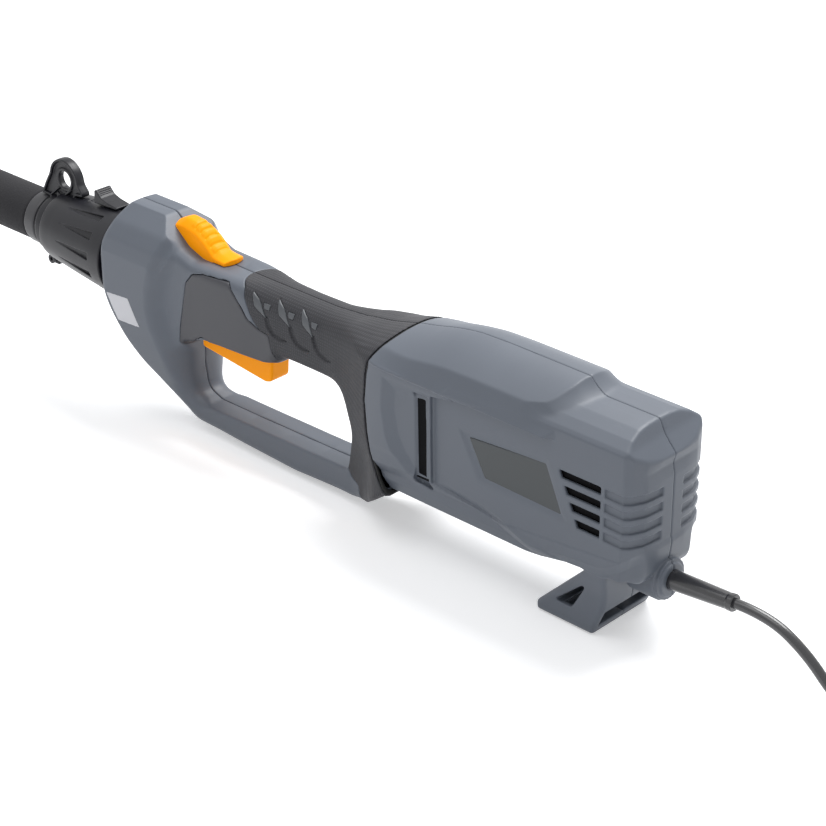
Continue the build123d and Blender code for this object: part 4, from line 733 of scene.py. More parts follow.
JOINT_LINE = [
    (-150.0, 175.0), (-157.0, 157.0), (-160.0, 153.9), (-162.4, 150.1), (-164.5, 146.6), (-167.2, 141.6),
    (-169.2, 136.0), (-171.6, 126.0), (-173.7, 106.0), (-171.2, 82.0), (-168.5, 68.5), (-164.4, 58.5),
    (-160.0, 49.0), (-155.5, 42.0), (-150.0, 35.5), (-140.0, 25.0), (-125.0, 0.0),
]


def ahead_of_joint(x: np.ndarray, z: np.ndarray) -> np.ndarray:
    """Field of everything in front of the joint between handle and motor housing."""
    line = [(-140, -60), (-600, -60), (-600, 260), (-150, 260)]
    return outline(x, z, line + JOINT_LINE)


@dataclass
class MotorHousing:
    """Rear housing in two halves, with foot, louvres and cord gland."""

    step: float = 0.75
    half: float = 43.0  # at the rail under the deck
    deck: float = 157.0
    ridge: float = 166.5
    belly: float = 42.0
    rail: float = 136.5  # height at which the hump starts
    recess: tuple[float, float] = (4.0, 1.6)  # depth of the side panel, and how much deeper in front
    bed_depth: float = 4.8  # of the name plate
    pocket_depth: float = 6.6  # of the slot
    band_half: float = 3.0  # of the grooves round the rear corner
    band_depth: float = 1.9
    # an outline's corners have two places and at times a radius; a curve's knots have place and value
    crest: tuple = (
        (-190, 148.0), (-170, 151.8), (-160, 154.5), (-140, 158.8), (-128.8, 161.6), (-115, 164.4),
        (-100, 166.2), (-78, 166.8), (20, 166.5),
    )
    side_line: tuple = (
        (-190, 30, 0), (-190, 137.6, 0), (-100, 137.6, 0), (-84, deck, 0), (45.6, deck, 4),
        (50.2, 147.5, 20), (REAR_X - 1.0, 136.4, 0.9), (REAR_X - 3.0, 129.8, 3), (REAR_X - 1.3, 121.5, 6),
        (REAR_X - 1.3, 77, 1), (REAR_X, 73.5, 2), (REAR_X - 3, 56, 5), (REAR_X - 6, 49, 6), (30, 47.5, 20),
        (4, 46, 20), (-18, belly - 2, 20), (-36, belly - 4.6, 25), (-110, belly - 5, 40),
        (-160, belly - 5, 0),
    )
    arch_line: tuple = (
        (-60, deck + 0.6), (0, deck + 0.6, 0), (10, deck + 0.2), (20, deck - 1.6), (29.5, deck - 5.2),
        (36, deck - 9.8), (40.5, deck - 15), (half, deck - 19.5), (half, 136.8, 0.5),
        (half - 1.6, 135.4, 0.5), (half - 1.6, 77, 1.5), (half - 2.4, 73, 2), (half - 3.4, 50, 5),
        (36.4, 39.6, 4), (30, belly - 5.4, 4), (-60, belly - 5.4),
    )
    plan_line: tuple = (
        (-190, -60), (-190, 38.0), (-172, 39.5, 20), (-150, half, 30), (REAR_X - 21, half, 6),
        (REAR_X - 13, half - 3, 8), (REAR_X - 7, half - 8.5, 8), (REAR_X - 2.8, half - 18, 10),
        (REAR_X - 0.6, half - 30, 15), (REAR_X, 0, 0), (REAR_X, -60),
    )
    # the side panel and what is let into it
    sunk_line: tuple = (
        (-156.5, 133.5, 4), (-158.5, 108, 30), (-154, 86, 30), (-146, 72.5, 12), (-133, 60, 10),
        (-100, 57, 20), (-60, 52, 20), (-20, 46, 10), (20, 30, 0), (90, 30, 0), (90, 136.4, 0),
        (-30, 136.0, 30), (-90, 135.2, 30), (-125, 134.4, 30),
    )
    # the hump: half width, fall from the crest, and the scoop behind
    shoulders: tuple = ((-190, 29), (-164, 31.5), (-145, 34.5), (-130, 35.7), (60, 35.7))
    drops: tuple = (
        (-190, 5), (-164, 7.2), (-145, 10), (-130, 12.2), (-110, 13.4), (-85, 13.8), (60, 13.6),
    )
    roof_sides: tuple = ((-190, 38), (-172, 39.6), (-160, 42), (-150, 42.9), (60, 42.9))
    scoop_foot: tuple = ((0, 7.5), (12.6, 7.0), (23.5, 3.8), (31.5, -2), (37, -9), (41, -18), (43, -31))
    scoop_head: tuple = (
        (0, -9.5), (14, -11.5), (24, -14.8), (31.3, -21), (35, -32), (39, -43), (43, -60),
    )
    deck_line: tuple = ((0, deck + 0.6), (20, deck - 1.6), (29.5, deck - 5.2), (36, 147.2), (43, 137.5))
    ridge_fall: tuple = ((0, 0), (12, 1.9), (24, 6.7), (35.7, 13.6), (43, 30))
    inner_line: tuple = (
        (-111.4, 130.4, 1.5), (-110.4, 66, 1.5), (-60, 58, 5), (60, 70, 0), (90, 170, 0),
    )
    pocket_line: tuple = ((-127.8, 127.8, 1), (-114.4, 128.6, 1), (-113.8, 61.6, 1), (-126.6, 62.4, 1))
    bed_line: tuple = ((-92, 117.2, 2), (-70.5, 82.2, 3), (6.5, 80.5, 3), (-11.0, 120.6, 2))
    crease_line: tuple = (
        (-190, 62), (-113, 66), (-72, 67), (-45, 60), (-23, 53), (2.5, 57), (31.6, 60), (57, 74.5),
    )
    # foot and slot
    foot_line: tuple = (
        (-25, 0, 3), (22.5, 0, 3), (31, 20, 30), (36, 58, 0), (26, 58, 0), (-25, 6.5, 3),
    )
    foot_hollow: tuple = (
        (-8, 7, 1), (60, 7, 1), (60, 18.5, 1), (27, 18.5, 2), (29, 40, 2), (20, 40, 2),
    )
    foot_window: tuple = ((-9.5, 14, 1.5), (5, 14, 3), (18.5, 38.5, 2))
    slot_line: tuple = ((-126.4, 123.0), (-119.0, 123.6), (-118.0, 66.2), (-125.2, 66.6))
    foot_half: float = 30.0
    foot_wall: float = 4
    gland_z: float = 46.0
    gland_bore: float = 6.4
    louvres: int = 4
    louvre_top: float = 114.2
    louvre_pitch: float = 10.4
    plate: tuple = ((-79.5, 111.5, 1), (-64.5, 84.5, 1), (2.5, 83, 1), (-12.5, 117.0, 1))

    def lower_body(self, grid: Grid) -> np.ndarray:
        """Field of the housing without hump and foot.

        Args:
            grid: where it is sampled.

        Returns:
            The field.
        """
        x, w, z = grid.x, grid.w, grid.z
        side = outline(x, z, self.side_line)
        arch = outline(w, z, self.arch_line)
        plan = outline(x, w, self.plan_line)
        return trim(trim(side, plan, 1.6), arch, 1.6)

    def hump(self, grid: Grid) -> np.ndarray:
        """Field of the hump over the motor, whose rear is scooped down to the deck.

        Args:
            grid: where it is sampled.

        Returns:
            The field.
        """
        x, w, z = grid.x, grid.w, grid.z
        # round roof over straight, leaning sides
        crest = through(x, self.crest)
        shoulder = through(x, self.shoulders)
        drop = through(x, self.drops)
        top = (z - crest + drop * (w / shoulder) ** 1.8) * 0.86
        edge = crest - drop
        lean = (self.half - shoulder) / np.maximum(edge - 136.0, 4)
        roof = trim(top, (w - shoulder - (edge - z) * lean) * 0.93, 0.7)
        roof = np.maximum(roof, w - through(x, self.roof_sides))
        # scoop behind the hump: it rises from its foot on the deck to its head on the ridge
        side = through(w, self.scoop_foot)
        high = through(w, self.scoop_head)
        share = np.clip((side - x) / (side - high), 0, 2.5)
        rise = np.where(share < 1, share ** 1.75, 1 + 1.75 * (share - 1))
        deck = through(w, self.deck_line)
        peak = self.ridge - through(w, self.ridge_fall)
        scoop = (z - (deck - 1.5 + (peak - deck + 1.5) * rise)) * 0.72
        solid = trim(trim(roof, scoop, 0.5), x - 24.0 + 38 * (w / 43) ** 2)
        return np.maximum(solid, self.rail - z)

    def panels(self, body: np.ndarray, grid: Grid) -> np.ndarray:
        """Sinks the side panel, the slot's pocket and the name plate's bed into the side.

        Args:
            body: the housing's field.
            grid: where it is sampled.

        Returns:
            The housing with them.
        """
        x, w, z = grid.x, grid.w, grid.z
        # the side sinks towards the panel, whose edge is a small step with a rib in front
        sunk = outline(x, z, self.sunk_line)
        deep = self.recess[0] + self.recess[1] * ramp(-x, 60, 135)
        depth = (deep - 0.7) * np.clip(-sunk / 11.5, 0, 1) ** 0.9
        strip = 1 - ramp(z, 135.6, 136.4)
        body = trim(body, w - (self.half - 0.7 - depth * strip), 0.2)
        inner = outline(x, z, self.inner_line)
        sunken = self.half - deep - 0.6 * ramp(-inner, 0, 0.8) + 6 * ramp(inner, 0, 0.6)
        body = trim(body, w - sunken, 0.4)
        rib = shared(slab(inner, 0.9, 0.7), x + 100, w - (self.half - 2.6))
        body = join(body, np.maximum(rib, 36 - w), 0.4)
        pocket = outline(x, z, self.pocket_line)
        body = carve(body, np.maximum(pocket, self.half - self.pocket_depth - w), 0.5)
        bed = outline(x, z, self.bed_line)
        slope = 1.4 * ramp(-bed, 0, 6.5)
        body = np.maximum(body, w - (self.half - self.bed_depth - slope + 6 * ramp(bed, 0, 0.6)))
        crease = through(x, self.crease_line)
        return body + np.clip((crease - z) * 0.5, 0, 4.0) * ramp(w, 22, 32)

    def foot(self, grid: Grid) -> np.ndarray:
        """Field of the hollow foot.

        Args:
            grid: where it is sampled.

        Returns:
            The field.
        """
        x, w, z = grid.x, grid.w, grid.z
        flare = ramp(z, 28, 52) * 4.5
        solid = trim(outline(x, z, self.foot_line), w - (self.foot_half + flare), 3.2)
        inside = np.maximum(outline(x, z, self.foot_hollow), w - (self.foot_half - self.foot_wall))
        solid = carve(solid, inside, 1.2)
        return carve(solid, outline(x, z, self.foot_window), 1.0)

    def rows(self) -> list[tuple[int, float]]:
        """Number and middle height of each louvre."""
        return [(row, self.louvre_top - row * self.louvre_pitch) for row in range(self.louvres)]

    def grooves(self, body: np.ndarray, grid: Grid) -> np.ndarray:
        """Sinks the shallow bands that carry the louvres on round the rear corner.

        Args:
            body: the housing's field.
            grid: where it is sampled.

        Returns:
            The housing with them.
        """
        x, w, z = grid.x, grid.w, grid.z
        bands = np.full(body.shape, 99.0, np.float32)
        for _, middle in self.rows():
            band = shared(np.abs(z - middle + 0.02 * (x - 36)) - self.band_half, 35.2 - x, 10.3 - w)
            bands = np.minimum(bands, band)
        return carve(body, np.maximum(bands, -(body + self.band_depth)), 0.35)

    def openings(self, body: np.ndarray, grid: Grid) -> np.ndarray:
        """Cuts the louvres and the slot through the wall.

        Args:
            body: the hollow housing's field.
            grid: where it is sampled.

        Returns:
            The housing with them.
        """
        x, z = grid.x, grid.z
        slot = outline(x, z, self.slot_line)
        inner = 28 - grid.w
        body = carve(body, np.maximum(slot, inner), 0.25)
        for row, middle in self.rows():
            front, rear = -2.4 + 4.6 * row, 31.9
            top, bottom = middle + 3, middle - 2.7
            hole = [(front, top), (rear, top), (rear, bottom), (front + 2.4, bottom)]
            body = carve(body, np.maximum(outline(x, z, hole), inner), 0.25)
        return body

    def whole(self, grid: Grid) -> np.ndarray:
        """Field of the closed housing.

        Args:
            grid: where it is sampled.

        Returns:
            The field.
        """
        body = self.panels(self.lower_body(grid), grid)
        body = join(body, self.hump(grid), 0.8)
        body = join(body, self.foot(grid), 3.0)
        reach = grid.reach(self.gland_z)
        for radius, end in ((15.6, REAR_X - 2.5), (14.4, REAR_X + 0.4), (11.6, REAR_X + 2.2)):
            body = join(body, shared(reach - radius, grid.x - end, REAR_X - 24 - grid.x), 0.5)
        return self.grooves(body, grid)

    def build(self) -> None:
        """Makes both halves with their name plates and the near-black sheets of painted shade behind their
        openings.
        """
        for side, label in SIDES:
            ends = sorted((side * (SEAM_GAP - 1.5), side * 46.0))
            grid = Grid((JOINT_X - 4, ends[0], -2), (REAR_X + 4, ends[1], 170), self.step)
            body = self.whole(grid)
            hollow = layer(body, 0, WALL)
            bore = self.gland_bore - grid.reach(self.gland_z)
            hollow = np.maximum(hollow, np.where(grid.x > 30, bore, -99))
            hollow = carve(hollow, ahead_of_joint(grid.x, grid.z) - 0.65, 0.5)
            hollow = self.openings(hollow, grid)
            hollow = trim(hollow, SEAM_GAP - side * grid.y, 0.3)
            replaced = [f"motor_shell_{label}"]
            moulded(f"motor_housing_{label}", grid, hollow, HOUSING, replaced=replaced, share=0.4)
            self.name_plate(side, label)
            self.baffle(side, label)

    def baffle(self, side: int, label: str) -> None:
        """Makes a near-black sheet behind one side's louvres and slot: painted shade for the dark inside.

        Args:
            side: -1 for the left.
            label: left or right.
        """
        ends = sorted((side * 34.0, side * 36.6))
        grid = Grid((-130, ends[0], 60), (38, ends[1], 130), 0.8)
        # a sheet just inside the wall, as painted shade behind the openings
        rear = shared(slab(grid.x, 15, 20), slab(grid.z, 99, 24))
        front = shared(slab(grid.x, -121.5, 7), slab(grid.z, 94.5, 32))
        screen = shared(np.minimum(rear, front), slab(grid.y * side, 35.3, 0.6))
        moulded(f"shade_screen_{label}", grid, screen, SHADE_SCREEN, share=0.1)

    def name_plate(self, side: int, label: str) -> None:
        """Makes a bare dark plate in its bed.

        Args:
            side: -1 for the left.
            label: left or right.
        """
        ends = sorted((side * 36.0, side * 39.0))
        grid = Grid((-84, ends[0] - 1, 80), (6, ends[1] + 1, 120), 0.6)
        flat = outline(grid.x, grid.z, self.plate)
        sheet = trim(flat, slab(grid.y * side, 36.9, 0.35), 0.2)
        moulded(f"name_plate_{label}", grid, sheet, PLATE, share=0.3)


@dataclass
class Handle:
    """Handle in two halves with its soft skins, from the round rim to the motor housing."""

    step: float = 0.75
    rim_r: float = 35.0
    socket_r: float = 30.6
    nose_half: float = 34.6
    crown: float = 166.2
    skin: float = 2.2
    proud: float = 0.25
    groove: float = 0.35
    cone_rise: float = 1.09  # of the radius per length behind the rim
    socket_depth: float = 9
    trigger_half: float = 9.9  # of the trigger's room
    arch_back: float = 5.5  # how far the nose's arch sinks behind the bulb
    # an outline's corners have two places and at times a radius; a curve's knots have place and value
    opening: tuple = (
        (-379, 76, 6), (-380.5, 50, 30), (-377, 30, 12), (-362, 24.8, 12), (-322, 25.2, 60),
        (-245, 26.6, 60), (-212.5, 27.5, 7), (-209, 62, 60), (-213.5, 92, 17), (-262, 91.5, 40),
        (-279, 91.5, 3), (-285.5, 85.8, 3), (-340, 84.8, 20), (-357, 83.6, 6), (-366, 80, 6),
    )
    upper_half: tuple = (
        (-458, 34.6), (-425, 34), (-408, 27.5), (-384, 24.4), (-350, 23.4), (-320, 22.2), (-290, 20.0),
        (-262, 18.8), (-236, 19.4), (-216, 23.0), (-198, 29.0), (-182, 36.0), (-170, 40.4), (-150, 43.0),
    )
    lower_half: tuple = (
        (-458, 30), (-410, 27), (-394, 22.5), (-380, 19), (-366, 17.2), (-346, 16.4), (-300, 16.2),
        (-236, 15.8), (-212, 16.6), (-196, 20), (-184, 27), (-173, 35), (-166, 38.4), (-158, 39.8),
        (-148, 40.4),
    )
    bulb: tuple = (
        (-700, 240, 0), (-396.5, 240, 0), (-395.5, 176, 4), (-394.0, 165.3, 4), (-393.0, 154.0, 8),
        (-396.0, 144.0, 8), (-401.0, 132.9, 20), (-406.8, 113.8, 20), (-407.6, 97.4, 20), (-404, 82, 20),
        (-398, 67, 20), (-392, 50, 20), (-386, 34, 20), (-382, 10, 0), (-382, -30, 0), (-700, -30, 0),
    )
    panel: tuple = (
        (-377, 97.6, 30), (-371, 126, 10), (-363.8, 134.6, 2.5), (-352.7, 137.3, 10), (-327.5, 138.8, 2.5),
        (-316, 125.8, 10), (-308.7, 115.8, 8), (-298.8, 111.2, 3), (-288.5, 109.5, 0), (-278, 76, 0),
        (-351, 70, 0), (-351, 85.5, 0), (-357, 86.6, 3), (-364, 82.5, 3), (-368.7, 74.2, 2),
        (-378.8, 71.3, 1), (-382, 74.2, 2),
    )
    grip: tuple = (
        (-313.5, 150, 0), (-313.2, 141, 8), (-310.4, 132.5, 10), (-306.5, 123, 10), (-301.5, 114.8, 5),
        (-295.5, 110.4, 2), (-288.5, 109.5, 0), (-278, 60, 0), (-216, 60, 0), (-216, 34, 4),
        (-208.5, 23.5, 3), (-200.5, 20.5, 2), (-193, -6, 0), (-100, -6, 0), (-100, 190, 0),
        (-313.5, 190, 0),
    )
    silhouette: tuple = (
        (RIM_X, 60, 0), (RIM_X, 190, 0), (-436, crown, 6), (-404.5, crown, 9), (-381, 147.3, 12),
        (-366, 141.9, 16), (-300, 141.6, 60), (-236, 141.8, 60), (-208, 144.3, 40), (-184, 148.8, 40),
        (-170, 152.2, 20), (-158, 155.4, 0), (-100, 164, 0), (-100, 44, 0), (-156, 37.4, 4), (-162, 33, 8),
        (-177, 21.5, 8), (-190, 11.5, 12), (-210, 5.4, 30), (-270, 2.8, 120), (-330, 5.4, 120),
        (-378, 8.6, 24), (-405, 28, 20), (-437, 57, 10),
    )
    nose_line: tuple = (
        (-60, crown + 0.6, 0), (11.2, crown - 0.2, 0.8), (15.4, crown - 3.8, 3), (25, 154.5, 20),
        (32, 143.5, 16), (35.4, 128, 10), (35.4, 0, 0), (-60, 0, 0),
    )
    nose_sides: tuple = (
        (-2, 14), (12, 16.5), (30, 21), (50, 28), (70, 33), (88, nose_half), (170, nose_half),
    )
    top_line: tuple = (
        (-236, 141.8), (-208, 144.3), (-184, 148.8), (-170, 152.2), (-158, 155.4), (-100, 164),
    )
    roof_line: tuple = (
        (-60, 0), (4, 0), (12, -1.2), (20, -3.2), (27, -5.6), (32, -8, 3), (37.5, -12.8, 4), (43, -19, 5),
        (43, -200), (-60, -200),
    )
    trigger_room: tuple = ((-375, 57), (-292.5, 57), (-292.5, 106), (-375, 106))
    # the grip's pattern
    darts: int = 3
    dart_pitch: float = 23.4
    dart_groove: tuple = (
        (-291, 122), (-288.8, 115.2), (-283.5, 110.2), (-277, 109), (-270.5, 110.4), (-277, 111.3),
        (-281.6, 112.6), (-285.6, 117.4), (-288.4, 124),
    )
    dart_head: tuple = (
        (-304.5, 138.2), (-300.4, 128.6), (-289.6, 122.4), (-294.3, 131.2), (-297.5, 134.4),
    )
    dart_stud: tuple = (
        (-292.6, 133.2, 0.5), (-286.0, 133.4, 0.5), (-286.8, 129.2, 0.5), (-291.2, 129.4, 0.5),
    )
    label: tuple = ((-450.6, 97.6, 0.8), (-426, 99.6, 0.8), (-414.2, 79.2, 0.8), (-438.8, 77.6, 0.8))

    def half_width(self, x: np.ndarray, z: np.ndarray) -> np.ndarray:
        """Half of the width at each place of the side view.

        Args:
            x: place along the tool.
            z: height.

        Returns:
            The half width.
        """
        upper = through(x, self.upper_half)
        lower = through(x, self.lower_half)
        behind = lower + (upper - lower) * ramp(z, 34, 92)
        away = ramp(outline(x, z, self.bulb), -1.0, 17.0 - 9.0 * ramp(z, 138, 155))
        nose = through(z, self.nose_sides)
        return nose + (behind - nose) * away

    def whole(self, grid: Grid) -> np.ndarray:
        """Field of the closed handle.

        Args:
            grid: where it is sampled.

        Returns:
            The field.
        """
        x, w, z = grid.x, grid.w, grid.z
        # side view and width, with soft edges between
        side = outline(x, z, self.silhouette)
        half = self.half_width(x, z)
        front = ramp(-x, 396, 420)
        rear = ramp(x, -225, -180)
        low = 1 - ramp(z, 40, 86)
        boxy = ramp(-x, 286, 330) * (1 - low)
        soft = 15.5 - 9.5 * front - 9.0 * low * (1 - front) - 2.0 * rear - 7.5 * boxy * (1 - front)
        body = trim(side, w - half, soft)
        # arched top at the rear, arched nose, and the cone behind the rim
        top = through(x, self.top_line)
        crown = outline(w, z - top, self.roof_line)
        body = trim(body, crown - 5 * (1 - rear) - 90 * ramp(-x, 234, 246), 2.0)
        arch = outline(w, z, self.nose_line)
        neck = ramp(outline(x, z, self.bulb), -1.0, 9.0) * ramp(z, 100, 130)
        body = np.maximum(body, arch + self.arch_back * neck - 21 * ramp(x, -374, -340))
        cone = (grid.reach() - (self.rim_r + self.cone_rise * (x - RIM_X))) * 0.68
        body = trim(body, cone, 2.0)
        # finger opening, whose edges are wider at the rear post and low in front
        hole = outline(x, z, self.opening)
        back = ramp(x, -296, -280)
        loose = (1.6 + 10.8 * ramp(z, 30, 74)) * back + (1.6 + 0.8 * ramp(z, 40, 70)) * (1 - back)
        loose = loose + 13.0 * ramp(-x, 351, 385) * (1 - ramp(z, 60, 78))
        body = carve(body, hole, loose)
        room = np.maximum(outline(x, z, self.trigger_room), w - self.trigger_half)
        body = carve(body, room, 0.5)
        return trim(body, RIM_X - x, 0.8)

    def build(self) -> None:
        """Makes both halves, their skins, the label and the strip of painted shade in the joint."""
        grid = Grid((RIM_X - 2, -1.4, 0), (-140, 43.5, 169), self.step)
        body = self.whole(grid)
        x, y, z = grid.x, grid.y, grid.z
        forward = ahead_of_joint(x, z)
        flat = outline(x, z, self.panel)
        crowned = 9.0 * (1 - np.clip(y / 18, 0, 1) ** 2) * ramp(z, 130, 139)
        round_part = outline(x, z, self.grip) - crowned
        zone = np.minimum(flat, round_part)
        between = flat - round_part
        socket = grid.reach() - self.socket_r
        shell = layer(body, 0, WALL)
        lip = shared(zone - self.groove, layer(body, -5, self.skin))
        shell = carve(shell, lip, 0.35)
        backing = shared(layer(body + self.skin, 0.1, 1.8), zone - 3)
        shell = np.minimum(shell, backing)
        shell = carve(shell, np.maximum(socket, x - RIM_X - self.socket_depth), 0.4)
        shell = trim(shell, forward + 0.65, 0.5)
        skin = np.maximum(body - self.proud, -(body + self.skin - 0.2))
        skin = trim(skin, forward + 0.75, 0.5)
        panel = trim(trim(skin, flat, 0.5), between + 0.02, 0.1)
        grip = trim(trim(skin, round_part, 0.5), 0.02 - between, 0.1)
        grip = self.wedge_cuts(grid, grip, body)
        for name, values, finish, node, share in (
            ("handle_cover", shell, HOUSING, "handle_shell_{}", 0.4),
            ("side_panel", panel, PANEL, "soft_grip", 0.5),
            ("grip_cover", grip, GRIP, "soft_grip", 0.6),
        ):
            mirrored(name, grid, trim(values, SEAM_GAP - y, 0.3), finish, node, share)
        self.wedges()
        self.seal(grid, body, forward)
        self.side_label()

    def wedge_outline(self, count: int, x: np.ndarray, z: np.ndarray) -> tuple[np.ndarray, np.ndarray]:
        """One slanted dart of the grip's pattern: its groove, and its head with a stud.

        Args:
            count: which one, from the front.
            x: place along the tool.
            z: height.

        Returns:
            Both fields.
        """
        u = x - self.dart_pitch * count
        head = np.minimum(outline(u, z, self.dart_head), outline(u, z, self.dart_stud))
        return outline(u, z, self.dart_groove), head

    def wedge_cuts(self, grid: Grid, grip: np.ndarray, body: np.ndarray) -> np.ndarray:
        """Presses the grooves of the pattern into the grip.

        Args:
            grid: where it is sampled.
            grip: the grip's field.
            body: the closed handle's field.

        Returns:
            The grip with them.
        """
        for count in range(self.darts):
            groove, head = self.wedge_outline(count, grid.x, grid.z)
            grip = carve(grip, np.maximum(groove - 0.3, -(body + 1.1)), 0.5)
            grip = carve(grip, np.maximum(head - 0.05, -(body + 0.8)), 0.1)
        return grip

    def wedges(self) -> None:
        """Makes the smooth inlays at the heads of the grooves."""
        grid = Grid((-307, 10, 119), (-237, 24, 141), 0.4)
        body = self.whole(grid)
        inlays = np.full_like(body, 9.0)
        for count in range(self.darts):
            _, head = self.wedge_outline(count, grid.x, grid.z)
            inlays = np.minimum(inlays, shared(layer(body, -0.5, 1.1), head))
        mirrored("grip_inlays", grid, inlays, WEDGE)

    def seal(self, grid: Grid, body: np.ndarray, forward: np.ndarray) -> None:
        """Makes a near-black strip in the joint with the motor housing: painted shade for the dark gap
        between the parts.

        Args:
            grid: where it is sampled.
            body: the closed handle's field.
            forward: field of everything in front of the joint.
        """
        strip = shared(slab(forward, 0, 0.8), layer(body, 0.9, 3.4))
        mirrored("joint_gap_shade", grid, trim(strip, -grid.y, 0.1), GAP_SHADE, share=0.5)

    def side_label(self) -> None:
        """Makes the bare pale label low on the left of the nose."""
        grid = Grid((-453, -36.5, 74), (-411, -20, 103), 0.45)
        body = self.whole(grid)
        sheet = trim(layer(body, -0.22, 0.5), outline(grid.x, grid.z, self.label), 0.15)
        moulded("bare_label", grid, sheet, LABEL, share=0.4)


# ---------------------------------------------------------------- controls
@dataclass
class Controls:
    """Lock-off button on the saddle, and the trigger under it."""

    step: float = 0.5
    button_half: float = 9.6
    # heights of the button along the middle, at its side and underneath
    ridge: tuple = (
        (-402, 161), (-396, 163.6), (-388, 166.6), (-376, 164.2), (-366, 158), (-358, 151), (-350, 147.6),
        (-338, 145.8),
    )
    side: tuple = (
        (-402, 159.5), (-398, 160), (-388, 160.4), (-376, 158.4), (-367, 154.4), (-360, 148.6),
        (-356, 145), (-338, 144.2),
    )
    under: tuple = (
        (-402, 160), (-397, 158.5), (-391, 152), (-381, 143), (-367, 138.5), (-358, 139), (-356, 142.1),
        (-338, 142.1),
    )
    ribs_from: float = -382.0
    ribs_to: float = -355.5
    rib_pitch: float = 5.2
    rib_rise: float = 0.7
    rib_valley: float = 1.1
    trigger_half: float = 9.1
    pivot: tuple[float, float] = (-374.0, 94.0)
    hub_r: float = 5.5
    pin_r: float = 2.6
    spring_room: float = 4.7  # radius of the pocket round the spring
    spring_post: float = 2.2  # radius of what stays inside the spring
    pull: float = 6.6  # how far the pocket goes under the spring
    lever_line: tuple = (
        (-372.2, 97, 2), (-372.4, 69.2, 3), (-305, 62.4, 8), (-298.2, 64.5, 7), (-297.2, 80, 3),
        (-297.6, 97, 2),
    )

    def button(self) -> None:
        """Makes the crowned button with its ribs and its tail."""
        grid = Grid((-403, -11, 136), (-338, 11, 170), self.step)
        x, w, z = grid.x, grid.w, grid.z
        out = np.clip(w / self.button_half, 0, 1)
        fall = 0.25 * out ** 2 + 0.75 * ramp(out, 0.30, 1.25) / 0.95
        top = through(x, self.ridge) * (1 - fall) + through(x, self.side) * fall
        place = (x - self.ribs_from) / self.rib_pitch
        wave = 1 - 2 * np.abs(place - np.floor(place) - 0.5)
        among = ramp(x, self.ribs_from, self.ribs_from + 1) * ramp(-x, -self.ribs_to, 1 - self.ribs_to)
        among = among * ramp(-w, -7.4, -6.2)
        top = top + among * (self.rib_rise * wave - self.rib_valley * ramp(1 - wave, 0.68, 1.0))
        body = trim((z - top) * 0.8, w - self.button_half, 0.9)
        ends = np.maximum(-397.5 + 0.012 * w ** 2 - x, x + 341.5 + 0.03 * w ** 2)
        body = trim(body, ends, 0.5)
        body = np.maximum(body, through(x, self.under) - z)
        moulded("lock_button", grid, body, ORANGE, "lock_off", ("lock_off_button",), share=0.5)

    def trigger(self) -> None:
        """Makes the trigger with its rounded rear, its arm and a pocket round the spring."""
        grid = Grid((-399, -10.4, 58), (-292, 10.4, 104), self.step)
        x, w, z = grid.x, grid.w, grid.z
        side = outline(x, z, self.lever_line)
        body = trim(side, w - self.trigger_half, 1.6)
        centre = np.hypot(x - self.pivot[0], z - self.pivot[1])
        hub = shared(centre - self.hub_r, w - self.trigger_half)
        arm = shared(slab(x, -383, 14), slab(z, 98.25, 1.7), w - 6)
        body = np.minimum(np.minimum(body, hub), arm)
        body = carve(body, centre - self.pin_r, 0.1)
        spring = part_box("trigger_spring")
        middle = METRE / 2 * (spring[0][0] + spring[1][0])
        bottom = METRE * spring[0][2]
        reach = np.hypot(x - middle, grid.y)
        pocket = shared(reach - self.spring_room, self.spring_post - reach, bottom - self.pull - z)
        body = carve(body, pocket, 0.1)
        moulded("trigger_lever", grid, body, ORANGE, "trigger", ("trigger",), share=0.4)

    def build(self) -> None:
        """Makes both."""
        self.button()
        self.trigger()


